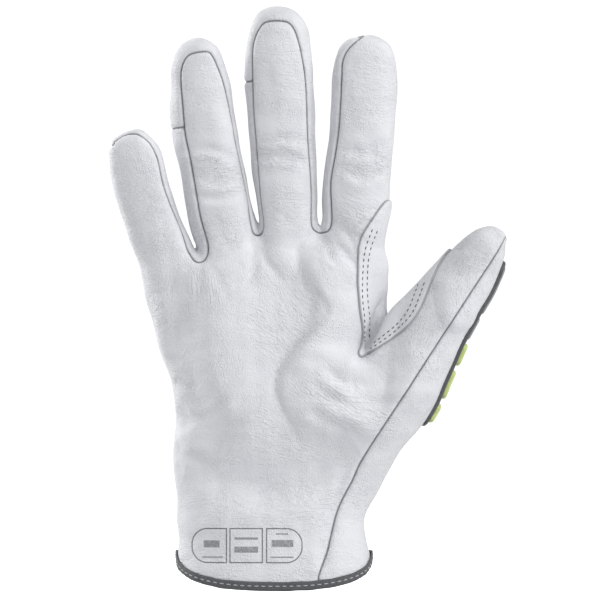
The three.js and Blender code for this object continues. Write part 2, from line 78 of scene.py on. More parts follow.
# Leather, its seams and the hem
LEATHER = 1.5
GROOVE_REACH = 1.5
GROOVE_DEPTH = 0.85
GROOVE_LINES = (0.3, 0.8, 1.5)
HEM_RISE = 13.0
HEM_FRONT = 24.84
HEM_LEATHER_START = 1.3

# Lowest height of the strips between the fingers
STRIP_LOW = 110.0

# Values at the points that the finishes read
KEPT_MARKS = ("seam", "flow_along", "flow_across", "flow_deep", "flow_fine")


def curve_through(xs: np.ndarray, ys: np.ndarray, at: np.ndarray, run_on: bool = False) -> np.ndarray:
    """Smooth curve through the points of a table.

    Args:
        xs: Rising places of the table.
        ys: Values at those places.
        at: Places to read.
        run_on: Whether the curve runs straight on past its ends instead of staying level.

    Returns:
        The values at those places.
    """
    xs = np.asarray(xs, np.float32)
    ys = np.asarray(ys, np.float32)
    slopes = np.gradient(ys, xs).astype(np.float32)
    inside = np.clip(at, xs[0], xs[-1])
    index = np.clip(np.searchsorted(xs, inside) - 1, 0, len(xs) - 2)
    width = (xs[1:] - xs[:-1])[index]
    t = (inside - xs[index]) / width
    t2 = t * t
    t3 = t2 * t
    value = (
        (2 * t3 - 3 * t2 + 1) * ys[index]
        + (t3 - 2 * t2 + t) * width * slopes[index]
        + (3 * t2 - 2 * t3) * ys[index + 1]
        + (t3 - t2) * width * slopes[index + 1]
    )
    if run_on:
        value = value + slopes[0] * np.minimum(at - xs[0], 0) + slopes[-1] * np.maximum(at - xs[-1], 0)
    return value


def smooth_union(first: np.ndarray, second: np.ndarray, reach: float) -> np.ndarray:
    """Union of two distance fields whose joint is rounded over reach."""
    overlap = np.maximum(reach - np.abs(first - second), 0) / reach
    return np.minimum(first, second) - overlap * overlap * reach / 4


def smooth_cut(first: np.ndarray, second: np.ndarray, reach: float) -> np.ndarray:
    """Intersection of two distance fields whose edge is rounded over reach."""
    return -smooth_union(-first, -second, reach)


def smooth_step(low: float, high: float, value: np.ndarray) -> np.ndarray:
    """Soft step from 0 at low to 1 at high."""
    t = np.clip((value - low) / (high - low), 0, 1)
    return t * t * (3 - 2 * t)


def smooth_line(points: list[tuple[float, float]], steps: int = 4, closed: bool = False) -> np.ndarray:
    """Smooth line through given points.

    Args:
        points: Places in the front view, or anywhere in a plane.
        steps: Parts that each stretch is divided into.
        closed: Whether the last point joins the first.

    Returns:
        The points of the finer line, one row each.
    """
    base = np.asarray(points, float)
    if closed:
        padded = np.vstack([base[-1:], base, base[:2]])
    else:
        padded = np.vstack([2 * base[0] - base[1], base, 2 * base[-1] - base[-2]])
    line = []
    for i in range(1, len(padded) - 2):
        before, start, end, after = padded[i - 1 : i + 3]
        for t in np.arange(steps) / steps:
            bend = (2 * before - 5 * start + 4 * end - after) * t * t
            twist = (3 * start - before - 3 * end + after) * t**3
            line.append(start + 0.5 * ((end - before) * t + bend + twist))
    if not closed:
        line.append(base[-1])
    return np.array(line)


def line_distance(places: np.ndarray, line: np.ndarray, closed: bool = False) -> tuple[np.ndarray, np.ndarray]:
    """Distance from places in a plane to a line.

    Args:
        places: Places, one row each.
        line: Points of the line, one row each.
        closed: Whether the last point joins the first.

    Returns:
        The distance, positive on the line's left, and the share of the line's length at the nearest point.
    """
    starts = line if closed else line[:-1]
    ends = np.roll(line, -1, axis=0) if closed else line[1:]
    runs = ends - starts
    lengths = np.maximum(np.hypot(runs[:, 0], runs[:, 1]), 1e-9)
    total = lengths.sum()
    before = np.concatenate([[0], np.cumsum(lengths)[:-1]])
    best = np.full(len(places), 1e9)
    side = np.ones(len(places))
    share = np.zeros(len(places))
    for start, run, length, passed in zip(starts, runs, lengths, before):
        dx = places[:, 0] - start[0]
        dz = places[:, 1] - start[1]
        t = np.clip((dx * run[0] + dz * run[1]) / length**2, 0, 1)
        away = np.hypot(dx - t * run[0], dz - t * run[1])
        closer = away < best
        best = np.where(closer, away, best)
        side = np.where(closer, np.sign(run[0] * dz - run[1] * dx + 1e-12), side)
        share = np.where(closer, (passed + t * length) / total, share)
    return best * side, share


def inside_distance(places: np.ndarray, outline: np.ndarray) -> np.ndarray:
    """Distance from places in a plane to a closed outline, positive inside it."""
    away = np.abs(line_distance(places, outline, closed=True)[0])
    x, z = places[:, 0], places[:, 1]
    inside = np.zeros(len(places), bool)
    for (x0, z0), (x1, z1) in zip(outline, np.roll(outline, -1, axis=0)):
        crosses = (z0 > z) != (z1 > z)
        at = (x1 - x0) * (z - z0) / (z1 - z0 if z1 != z0 else 1e-9) + x0
        inside ^= crosses & (x < at)
    return np.where(inside, away, -away)


def ripple(places: np.ndarray, length: float, seed: int, waves: int = 14) -> np.ndarray:
    """Soft random swell of about one unit, the same on every run.

    Args:
        places: Places in space, one row each.
        length: Typical length of a wave.
        seed: Fixed seed.
        waves: Waves that are added up.

    Returns:
        One value for each place.
    """
    rng = np.random.default_rng(seed)
    total = np.zeros(len(places))
    for _ in range(waves):
        way = rng.normal(size=3)
        way /= np.linalg.norm(way)
        pitch = length * rng.uniform(0.7, 1.6)
        total += np.sin(places @ way * (2 * math.pi / pitch) + rng.uniform(0, 2 * math.pi))
    return total / math.sqrt(waves / 2)


@dataclass(frozen=True)
class Digit:
    """A finger or the thumb as a bent tube with a rounded tip.

    Rows hold the rise as a share of the length, the reach to the left and right as shares of
    the width, and the depth as a share of the depth.
    """

    length: float
    width: float
    depth: float
    root: tuple[float, float]
    tilt: float
    lean: float
    rows: tuple[tuple[float, float, float, float], ...]
    level: float = 0.0
    joint: float = 1.0

    def local(self, x: np.ndarray, y: np.ndarray, z: np.ndarray) -> tuple[np.ndarray, np.ndarray, np.ndarray]:
        """Places in the digit's own frame: across it, through it and the share of its length."""
        turn = math.radians(self.tilt)
        dx = x - self.root[0]
        dz = z - self.root[1]
        rise = (dx * math.sin(turn) + dz * math.cos(turn)) / self.length
        side = dx * math.cos(turn) - dz * math.sin(turn)
        return side, y - self.bow(rise), rise

    def bow(self, rise: np.ndarray) -> np.ndarray:
        """Depth of the digit's middle at a share of its length."""
        return (self.level + self.lean * np.sign(rise) * np.abs(rise) ** 1.5) * self.length

    def place(self, side: float, rise: float) -> tuple[float, float]:
        """Place in the front view, across in millimetres and the rise as a share of the length."""
        turn = math.radians(self.tilt)
        along = rise * self.length
        return (
            self.root[0] + along * math.sin(turn) + side * math.cos(turn),
            self.root[1] + along * math.cos(turn) - side * math.sin(turn),
        )

    def square_field(self, x: np.ndarray, y: np.ndarray, z: np.ndarray) -> np.ndarray:
        """Squared distance from the digit's middle less the squared reach of its section."""
        side, deep, rise = self.local(x, y, z)
        table = np.array(self.rows)
        left = table[:, 1] * self.width
        right = table[:, 2] * self.width
        thick = table[:, 3] * self.depth / 2
        size = (left + right) / 2
        last = table[-1, 0]
        rises = np.append(table[:, 0], [1.0, 2.0 - last])
        squares = np.append(size**2, [0.0, -(size[-1] ** 2)])
        size_square = curve_through(rises, squares, rise, run_on=True)
        reach_left = curve_through(table[:, 0], left / size, rise)
        reach_right = curve_through(table[:, 0], right / size, rise)
        reach_deep = curve_through(table[:, 0], thick / size, rise)
        across = np.abs(side) / np.where(side > 0, reach_right, reach_left)
        through = np.abs(deep) / reach_deep
        norm = (across**DIGIT_SQUARENESS + through**DIGIT_SQUARENESS) ** (1 / DIGIT_SQUARENESS)
        away = side * side + deep * deep
        ratio = away / np.maximum(norm * norm, 1e-6)
        return away - size_square * ratio


LITTLE = Digit(
    length=72.6, width=24.4, depth=21.0, root=(-37.1, 127.4), tilt=-19.5, lean=-0.12, joint=0.94,
    rows=(
        (-0.3, 0.53, 0.37, 0.95), (0.0, 0.69, 0.37, 1.02), (0.2, 0.64, 0.375, 1.0),
        (0.4, 0.66, 0.325, 1.0), (0.6, 0.65, 0.35, 0.97), (0.75, 0.6, 0.385, 0.95),
        (0.86, 0.535, 0.365, 0.87), (0.94, 0.455, 0.27, 0.68), (0.985, 0.3, 0.17, 0.36),
    ),
)
RING = Digit(
    length=96.4, width=27.6, depth=24.0, root=(-19.3, 139.4), tilt=-8.4, lean=-0.11, joint=0.615,
    rows=(
        (-0.3, 0.42, 0.46, 0.95), (0.0, 0.4, 0.56, 1.02), (0.1, 0.485, 0.56, 1.0),
        (0.17, 0.525, 0.52, 1.0), (0.35, 0.553, 0.467, 1.0), (0.58, 0.585, 0.435, 0.96),
        (0.7, 0.57, 0.43, 0.95), (0.8, 0.5, 0.42, 0.92), (0.88, 0.455, 0.38, 0.84),
        (0.94, 0.365, 0.315, 0.68), (0.985, 0.21, 0.16, 0.36),
    ),
)
MIDDLE = Digit(
    length=101.4, width=29.1, depth=25.0, root=(4.1, 147.0), tilt=-1.7, lean=-0.1, joint=0.683,
    rows=(
        (-0.3, 0.38, 0.46, 0.93), (0.04, 0.385, 0.56, 1.0), (0.09, 0.365, 0.512, 1.0),
        (0.2, 0.41, 0.512, 1.0), (0.35, 0.458, 0.52, 0.99), (0.55, 0.487, 0.512, 0.97),
        (0.72, 0.508, 0.503, 0.95), (0.82, 0.487, 0.493, 0.91), (0.9, 0.425, 0.45, 0.8),
        (0.95, 0.345, 0.35, 0.63), (0.985, 0.22, 0.21, 0.38),
    ),
)
INDEX = Digit(
    length=89.6, width=28.7, depth=24.0, root=(33.4, 147.0), tilt=3.5, lean=-0.1, joint=0.985,
    rows=(
        (-0.3, 0.44, 0.38, 0.95), (0.04, 0.53, 0.44, 1.02), (0.1, 0.49, 0.46, 1.0),
        (0.2, 0.505, 0.505, 1.0), (0.3, 0.51, 0.5, 1.0), (0.45, 0.475, 0.507, 0.98),
        (0.65, 0.46, 0.515, 0.96), (0.8, 0.46, 0.51, 0.92), (0.88, 0.425, 0.47, 0.84),
        (0.94, 0.35, 0.39, 0.68), (0.985, 0.17, 0.22, 0.36),
    ),
)
THUMB = Digit(
    length=81.7, width=30.0, depth=27.0, root=(51.2, 85.0), tilt=33.1, level=-0.04, lean=-0.2,
    rows=(
        (-0.5, 0.6, 0.52, 1.16), (-0.25, 0.71, 0.545, 1.23), (0.0, 0.7, 0.59, 1.22),
        (0.15, 0.645, 0.535, 1.12), (0.35, 0.593, 0.45, 1.02), (0.55, 0.53, 0.4, 0.98),
        (0.7, 0.46, 0.37, 0.94), (0.82, 0.4, 0.325, 0.86), (0.9, 0.34, 0.265, 0.75),
        (0.96, 0.235, 0.185, 0.54), (0.99, 0.135, 0.14, 0.3),
    ),
)
FINGERS = (LITTLE, RING, MIDDLE, INDEX)


@dataclass(frozen=True)
class Palm:
    """The hand from the hem to the finger roots, as rounded sections.

    Rows hold the height and the reach to the left, right, front and back, all in millimetres.
    """

    top: float = 140.4
    rows: tuple[tuple[float, float, float, float, float], ...] = (
        (-7.4, 41.2, 41.2, 24.6, 22.5), (13.2, 41.6, 41.2, 24.3, 22.2),
        (22.8, 40.8, 39.1, 22.0, 20.5), (29.4, 41.3, 38.6, 21.2, 19.4),
        (39.7, 41.6, 42.1, 20.5, 19.4), (55.1, 43.6, 46.9, 19.8, 19.1),
        (73.5, 41.9, 46.9, 19.1, 18.7), (88.2, 44.0, 46.9, 18.7, 18.4),
        (102.9, 49.3, 46.9, 17.6, 17.6), (115.4, 51.0, 47.6, 16.2, 16.6),
        (127.9, 53.9, 47.0, 14.4, 15.1), (135.2, 53.0, 46.4, 13.0, 13.3),
        (140.4, 49.0, 45.0, 10.1, 10.4),
    )

    def reaches(self, z: np.ndarray) -> list[np.ndarray]:
        """Reach to the left, right, front and back at a height."""
        table = np.array(self.rows)
        return [curve_through(table[:, 0], table[:, column], z) for column in range(1, 5)]

    def square_field(self, x: np.ndarray, y: np.ndarray, z: np.ndarray) -> np.ndarray:
        """Squared distance from the palm's middle less the squared reach of its section."""
        left, right, front, back = self.reaches(z)
        across = np.abs(x) / np.where(x > 0, right, left)
        through = np.abs(y) / np.where(y > 0, back, front)
        norm = (across**PALM_SQUARENESS + through**PALM_SQUARENESS) ** (1 / PALM_SQUARENESS)
        away = x * x + y * y
        return away - away / np.maximum(norm * norm, 1e-6)

    def rim(self, turn: float, z: float) -> tuple[float, float]:
        """Place on the section at a height, by its turn round the middle."""
        left, right, front, back = (float(reach) for reach in self.reaches(np.array(z)))
        bend = 2 / PALM_SQUARENESS
        side = math.copysign(abs(math.cos(turn)) ** bend, math.cos(turn))
        deep = math.copysign(abs(math.sin(turn)) ** bend, math.sin(turn))
        return side * (right if side > 0 else left), deep * (back if deep > 0 else front)


PALM = Palm()


@dataclass(frozen=True)
class Fold:
    """A crease or swell along a line in the front view.

    depth is how far it goes in, and a negative one is a swell. ridge raises the leather
    beside it, on the line's left where it is positive and on its right where it is negative.
    over lets the crease run on over an edge that faces up.
    """

    points: tuple[tuple[float, float], ...]
    reach: float
    depth: float
    ridge: float = 0.0
    over: bool = False


@dataclass(frozen=True)
class Ledge:
    """A place where the leather rises to the right of an upright line in the front view.

    The points run from high to low. The rise starts at the line and is over at width, and the
    leather sinks back over fall. A bend under 1 makes the foot sharp, one over 1 the crest.
    """

    points: tuple[tuple[float, float], ...]
    rise: float
    width: float
    bend: float
    fall: float

    def lift(self, view: np.ndarray) -> np.ndarray:
        """How far the leather is lifted at places in the front view."""
        line = np.array(self.points[::-1])
        share = (view[:, 1] - line[0, 1]) / (line[-1, 1] - line[0, 1])
        fade = smooth_step(0.0, 0.3, share) * smooth_step(0.0, 0.3, 1 - share)
        away = view[:, 0] - curve_through(line[:, 1], line[:, 0], view[:, 1])
        climb = smooth_step(0.0, 1.0, np.clip(away / self.width, 0, 1) ** self.bend)
        sink = np.exp(-((np.maximum(away - self.width, 0) / self.fall) ** 2))
        return self.rise * fade * climb * sink


@dataclass(frozen=True)
class Wrinkles:
    """A patch of fine wrinkles in the front view.

    middle and size are in millimetres, turn is the way the wrinkles run in degrees from
    level, pitch the space between them, stretch how much longer than that they are, depth
    their depth in the mesh and fine the strength of the still finer ones in the finish.
    """

    middle: tuple[float, float]
    size: tuple[float, float]
    turn: float
    pitch: float
    stretch: float
    depth: float
    fine: float = 1.0


LEDGES = (
    # The mound under the index finger, over the hollow of the palm
    Ledge(((14.5, 152.5), (11.0, 146.0), (9.8, 139.5), (10.4, 133.6), (12.4, 128.0), (14.8, 122.5), (15.0, 117.5),
           (12.5, 112.5), (8.5, 106.5), (4.0, 100.0), (-1.0, 90.0)), 4.6, 8.0, 0.75, 13.0),
    Ledge(((-6.0, 148.0), (-7.5, 125.0), (-9.0, 98.0)), 2.0, 24.0, 1.0, 18.0),
    # The thumb's mound
    Ledge(((8.5, 108.0), (4.4, 99.5), (1.8, 94.0), (0.2, 88.6), (0.4, 84.0), (2.4, 78.5), (8.0, 68.0), (12.0, 58.0)),
          6.4, 25.0, 0.45, 14.0),
    # The palm's swell beside the little finger's side
    Ledge(((-46.3, 150.0), (-43.4, 127.5), (-42.0, 114.8), (-41.0, 102.0), (-39.0, 91.4), (-35.0, 80.8), (-28.0, 50.0)),
          5.4, 16.0, 1.0, 26.0),
    # Flank of the thumb
    Ledge(((62.0, 129.0), (56.0, 117.5), (52.5, 110.0), (49.8, 104.5), (48.9, 97.0), (48.0, 90.0), (46.0, 80.0), (42.0, 70.0)),
          3.8, 10.5, 0.6, 13.0),
    Ledge(((66.5, 136.0), (67.4, 127.0), (68.4, 120.0), (69.8, 114.0), (71.6, 108.0)), 2.6, 7.0, 0.6, 9.0),
)

FOLDS = (
    Fold(((36.0, 96.0), (33.0, 84.0), (27.0, 70.0)), 10.0, -1.6),
    Fold(((26.0, 141.0), (27.5, 130.0), (28.5, 118.0)), 7.0, -1.0),
    Fold(((-20.0, 138.0), (-21.0, 122.0), (-20.0, 104.0)), 8.5, -1.2),
    Fold(((3.5, 145.0), (2.5, 137.0)), 6.0, -1.1),
    Fold(((-47.5, 126.0), (-47.0, 112.0), (-46.5, 98.0)), 4.5, -1.3),
    Fold(((-50.0, 87.8), (-43.0, 88.2), (-35.0, 86.0)), 1.5, 1.0, 0.5),
    Fold(((-46.0, 78.0), (-40.0, 76.0), (-34.0, 70.0)), 2.6, 1.2, 0.6),
    Fold(((-44.0, 64.0), (-37.0, 57.0), (-27.0, 53.5)), 2.6, 1.2, 0.5),
    # Valley over the wrist and the raised band below it
    Fold(((-38.0, 51.0), (-24.0, 47.0), (-6.0, 45.0), (14.0, 50.0), (34.0, 62.0)), 8.5, 5.0),
    Fold(((-38.0, 28.0), (-12.0, 31.0), (10.0, 36.0), (24.0, 43.0)), 5.5, -1.2),
    Fold(((-40.0, 17.0), (-12.0, 12.0), (16.0, 14.0)), 7.0, 1.6),
    # Sharp lines at the foot of the mounds
    Fold(((16.0, 152.0), (10.5, 146.6), (9.2, 141.0)), 1.5, 0.6),
    Fold(((15.0, 127.0), (19.5, 123.0), (21.5, 118.0), (19.0, 114.5), (13.5, 110.0), (8.5, 103.5), (4.5, 97.5)), 1.7, 1.0),
    Fold(((6.0, 99.5), (2.4, 94.0), (0.8, 88.0), (1.0, 83.0), (3.5, 77.0)), 1.7, 1.1),
    # Folds under the thumb's crotch
    Fold(((21.0, 95.0), (25.0, 90.2), (31.0, 87.4), (39.0, 88.0)), 2.4, 1.4, -0.8),
    Fold(((12.0, 101.5), (22.0, 100.5), (33.0, 98.0)), 3.4, -1.3),
    Fold(((18.0, 84.0), (28.0, 79.0), (41.0, 75.5)), 2.6, 0.9, -0.4),
    Fold(((14.0, 77.0), (24.0, 71.0), (36.0, 68.0)), 2.4, 0.7, -0.3),
    # Pull along the seam of the side
    Fold(((33.0, 53.0), (29.0, 46.0), (26.0, 38.0), (24.0, 28.0), (22.0, 17.0), (20.5, 8.0)), 2.6, 1.2),
    # Deep fold of the thumb's crotch
    Fold(((37.0, 98.0), (38.8, 102.5), (41.2, 109.2), (43.6, 115.0), (46.0, 120.5), (48.0, 126.0)), 3.0, 7.5, -1.2, over=True),
    # Wrinkles that run down from the finger crotches
    Fold(((-31.0, 139.0), (-31.5, 129.0), (-30.5, 117.0)), 2.2, 0.7),
    Fold(((-26.0, 137.0), (-22.0, 129.0), (-19.5, 122.0)), 1.8, 0.6),
    Fold(((-8.0, 150.0), (-9.0, 139.0), (-10.0, 128.0)), 2.0, 0.8),
    Fold(((-5.5, 149.0), (-3.0, 139.0), (4.0, 131.0)), 1.7, 0.8),
    Fold(((21.0, 150.0), (24.0, 141.0), (29.0, 133.0)), 1.8, 0.7),
    Fold(((25.0, 151.0), (31.0, 141.0), (37.0, 133.5)), 1.7, 0.7),
    Fold(((29.0, 154.0), (34.0, 146.0), (37.5, 140.0)), 1.4, 0.5),
    # Joints of the fingers
    Fold(((-39.6, 186.5), (-28.0, 187.5), (-17.5, 184.5)), 1.8, 0.9, -0.8),
    Fold(((-36.0, 176.0), (-26.0, 173.5), (-15.0, 175.0)), 2.2, 0.8, -0.5),
    Fold(((-36.0, 168.5), (-25.0, 166.5), (-14.0, 168.5)), 1.8, 1.0, -0.5),
    Fold(((-7.0, 190.5), (4.0, 192.0), (14.5, 191.0)), 2.2, 1.0, -0.9),
    Fold(((-8.0, 184.5), (3.0, 184.5), (13.0, 182.5)), 2.0, 0.9, -0.5),
    Fold(((27.0, 187.0), (36.0, 186.0), (47.0, 189.0)), 2.2, 0.8, -0.4),
    Fold(((29.0, 178.5), (37.0, 175.0), (46.0, 177.5)), 2.0, 1.0, -0.5),
)

WRINKLES = (
    Wrinkles((-27.0, 176.0), (15.0, 13.0), 8.0, 3.4, 3.5, 0.3),
    Wrinkles((4.0, 186.0), (14.0, 11.0), 2.0, 3.2, 3.5, 0.3),
    Wrinkles((38.0, 181.0), (13.0, 13.0), -4.0, 3.4, 3.5, 0.3),
    Wrinkles((-24.0, 153.0), (13.0, 12.0), 6.0, 3.4, 3.0, 0.24, 0.8),
    Wrinkles((6.0, 162.0), (13.0, 12.0), 2.0, 3.4, 3.0, 0.2, 0.6),
    Wrinkles((36.0, 160.0), (12.0, 14.0), -20.0, 3.4, 3.0, 0.22, 0.7),
    Wrinkles((-33.0, 208.0), (13.0, 16.0), 8.0, 3.4, 3.0, 0.08, 0.5),
    Wrinkles((3.0, 216.0), (13.0, 16.0), 2.0, 3.4, 3.0, 0.08, 0.5),
    Wrinkles((39.0, 212.0), (13.0, 18.0), -4.0, 3.4, 3.0, 0.08, 0.5),
    Wrinkles((-50.0, 160.0), (14.0, 20.0), 20.0, 3.6, 3.0, 0.14, 0.7),
    Wrinkles((30.0, 82.0), (22.0, 16.0), -32.0, 3.4, 3.2, 0.3),
    Wrinkles((43.0, 92.0), (10.0, 9.0), 85.0, 3.0, 2.5, 0.26),
    Wrinkles((6.0, 120.0), (20.0, 22.0), -35.0, 3.8, 1.8, 0.12, 0.7),
    Wrinkles((-8.0, 64.0), (30.0, 15.0), -8.0, 3.8, 2.6, 0.14, 0.7),
    Wrinkles((-30.0, 88.0), (14.0, 26.0), 70.0, 3.8, 2.2, 0.12, 0.5),
    Wrinkles((4.0, 38.0), (34.0, 12.0), 8.0, 3.6, 3.0, 0.14, 0.6),
    Wrinkles((-47.0, 122.0), (8.0, 14.0), 50.0, 3.0, 2.4, 0.12, 0.6),
    Wrinkles((64.0, 108.0), (10.0, 16.0), 60.0, 3.4, 3.0, 0.1, 0.5),
    Wrinkles((82.0, 132.0), (10.0, 14.0), 55.0, 3.4, 3.0, 0.12, 0.6),
    Wrinkles((-7.0, 135.0), (9.0, 12.0), 95.0, 3.0, 3.0, 0.2),
    Wrinkles((-31.0, 124.0), (9.0, 12.0), 88.0, 3.2, 3.0, 0.16),
    Wrinkles((27.0, 139.0), (11.0, 12.0), 125.0, 3.0, 3.0, 0.16, 0.7),
)
FLOW_MIDDLE = (0.0, 110.0)


@dataclass
class Surface:
    """Triangles with their normals and the values that are kept at their points."""

    points: np.ndarray
    faces: np.ndarray
    normals: np.ndarray
    marks: dict[str, np.ndarray] = field(default_factory=dict)

    def cut_at(self, name: str, level: float = 0.0, near: float = 0.08) -> "Surface":
        """Splits the triangles along the line where a kept value reaches a level.

        Args:
            name: The kept value.
            level: Where the line runs.
            near: Smallest share of an edge that is cut off.

        Returns:
            The same surface with points on that line.
        """
        value = self.marks[name] - level
        above = value > 0
        count = above[self.faces].sum(axis=1)
        mixed = (count == 1) | (count == 2)
        if not mixed.any():
            return self
        faces = self.faces[mixed]
        lone = np.where(count[mixed, None] == 1, above[faces], ~above[faces]).argmax(axis=1)
        order = (lone[:, None] + np.arange(3)) % 3
        faces = np.take_along_axis(faces, order, axis=1)
        edges = np.vstack([faces[:, [0, 1]], faces[:, [0, 2]]])
        unique, back = np.unique(np.sort(edges, axis=1), axis=0, return_inverse=True)
        back = back.reshape(-1)
        start, end = unique[:, 0], unique[:, 1]
        share = np.clip(value[start] / (value[start] - value[end]), near, 1 - near)
        fresh = len(self.points) + back
        first, second = fresh[: len(faces)], fresh[len(faces) :]
        a, b, c = faces.T
        made = np.vstack([
            np.stack([a, first, second], axis=1),
            np.stack([first, b, c], axis=1),
            np.stack([first, c, second], axis=1),
        ])

        def blend(values: np.ndarray) -> np.ndarray:
            weight = share if values.ndim == 1 else share[:, None]
            return values[start] * (1 - weight) + values[end] * weight

        marks = {key: np.concatenate([kept, blend(kept)]) for key, kept in self.marks.items()}
        marks[name][len(self.points) :] = level
        normals = np.vstack([self.normals, blend(self.normals)])
        normals /= np.linalg.norm(normals, axis=1, keepdims=True)
        points = np.vstack([self.points, blend(self.points)])
        return Surface(points, np.vstack([self.faces[~mixed], made]), normals, marks)

    def part(self, chosen: np.ndarray) -> "Surface":
        """The chosen triangles alone, with only the points that they use."""
        faces = self.faces[chosen]
        used, back = np.unique(faces, return_inverse=True)
        marks = {key: kept[used] for key, kept in self.marks.items()}
        return Surface(self.points[used], back.reshape(-1, 3), self.normals[used], marks)

    def middle_of(self, name: str) -> np.ndarray:
        """A kept value at the middle of each triangle."""
        return self.marks[name][self.faces].mean(axis=1)

    def largest(self) -> "Surface":
        """The biggest connected patch alone."""
        label = np.arange(len(self.points))
        while True:
            low = label[self.faces].min(axis=1)
            fresh = label.copy()
            for corner in range(3):
                np.minimum.at(fresh, self.faces[:, corner], low)
            fresh = fresh[fresh]
            if (fresh == label).all():
                break
            label = fresh
        labels, counts = np.unique(label[self.faces[:, 0]], return_counts=True)
        return self.part(label[self.faces[:, 0]] == labels[counts.argmax()])

    def along_surface(self, name: str, least: float = 0.2) -> None:
        """Turns a kept distance in space into one measured along the surface."""
        value = self.marks[name]
        a, b, c = (self.points[self.faces[:, i]] for i in range(3))
        normal = np.cross(b - a, c - a)
        area = np.maximum(np.linalg.norm(normal, axis=1, keepdims=True), 1e-9)
        unit = normal / area
        fa, fb, fc = (value[self.faces[:, i], None] for i in range(3))
        slope = (
            fa * np.cross(unit, c - b) + fb * np.cross(unit, a - c) + fc * np.cross(unit, b - a)
        )
        total = np.zeros_like(self.points)
        weight = np.zeros(len(self.points))
        for corner in range(3):
            np.add.at(total, self.faces[:, corner], slope)
            np.add.at(weight, self.faces[:, corner], area[:, 0])
        steep = np.linalg.norm(total, axis=1) / np.maximum(weight, 1e-9)
        self.marks[name] = value / np.clip(steep, least, 1.5)


def normals_of(points: np.ndarray, faces: np.ndarray) -> np.ndarray:
    """Outward normals at the points, from the triangles round each."""
    a, b, c = (points[faces[:, i]] for i in range(3))
    each = np.cross(b - a, c - a)
    total = np.zeros_like(points)
    for corner in range(3):
        np.add.at(total, faces[:, corner], each)
    return total / np.maximum(np.linalg.norm(total, axis=1, keepdims=True), 1e-12)


def near_line(view: np.ndarray, points: tuple, room: float) -> tuple[np.ndarray, np.ndarray, np.ndarray]:
    """Places near a given line.

    Args:
        view: Places in the front view, one row each.
        points: Points of the line.
        room: How far from the line's box a place may be.

    Returns:
        The numbers of the places, their distance from the line and the share of its length.
    """
    line = smooth_line(list(points), 3)
    low, high = line.min(axis=0) - room, line.max(axis=0) + room
    close = np.flatnonzero(((view > low) & (view < high)).all(axis=1))
    away, share = line_distance(view[close], line)
    return close, away, np.clip(share, 0.0, 1.0)


def patch_strength(view: np.ndarray, patch: Wrinkles) -> np.ndarray:
    """Strength of a patch of wrinkles at places in the front view, 1 in its middle."""
    offset = (view - patch.middle) / patch.size
    return np.exp(-1.5 * (offset**2).sum(axis=1))


def wrinkle_flow(points: np.ndarray) -> dict[str, np.ndarray]:
    """Values for the finish that let its fine wrinkles run the way the leather is creased.

    Args:
        points: Points of the form.

    Returns:
        The places along and across the wrinkles in metres, and their strength.
    """
    view = points[:, [0, 2]]
    offset = view - FLOW_MIDDLE
    weight = np.full(len(view), 0.03)
    most = weight.copy()
    along = weight * offset[:, 0]
    across = weight * offset[:, 1]
    fine = weight * 0.35
    for patch in WRINKLES:
        turn = math.radians(patch.turn)
        strength = patch_strength(view, patch)
        along += strength * (offset @ (math.cos(turn), math.sin(turn)))
        across += strength * (offset @ (-math.sin(turn), math.cos(turn)))
        fine += strength * patch.fine
        weight += strength
        most = np.maximum(most, strength)
    flow = {"flow_along": along, "flow_across": across}
    marks = {name: value / weight * MM for name, value in flow.items()}
    marks["flow_deep"] = points[:, 1] * MM
    marks["flow_fine"] = fine / weight * smooth_step(0.5, 1.0, most / weight)
    return marks


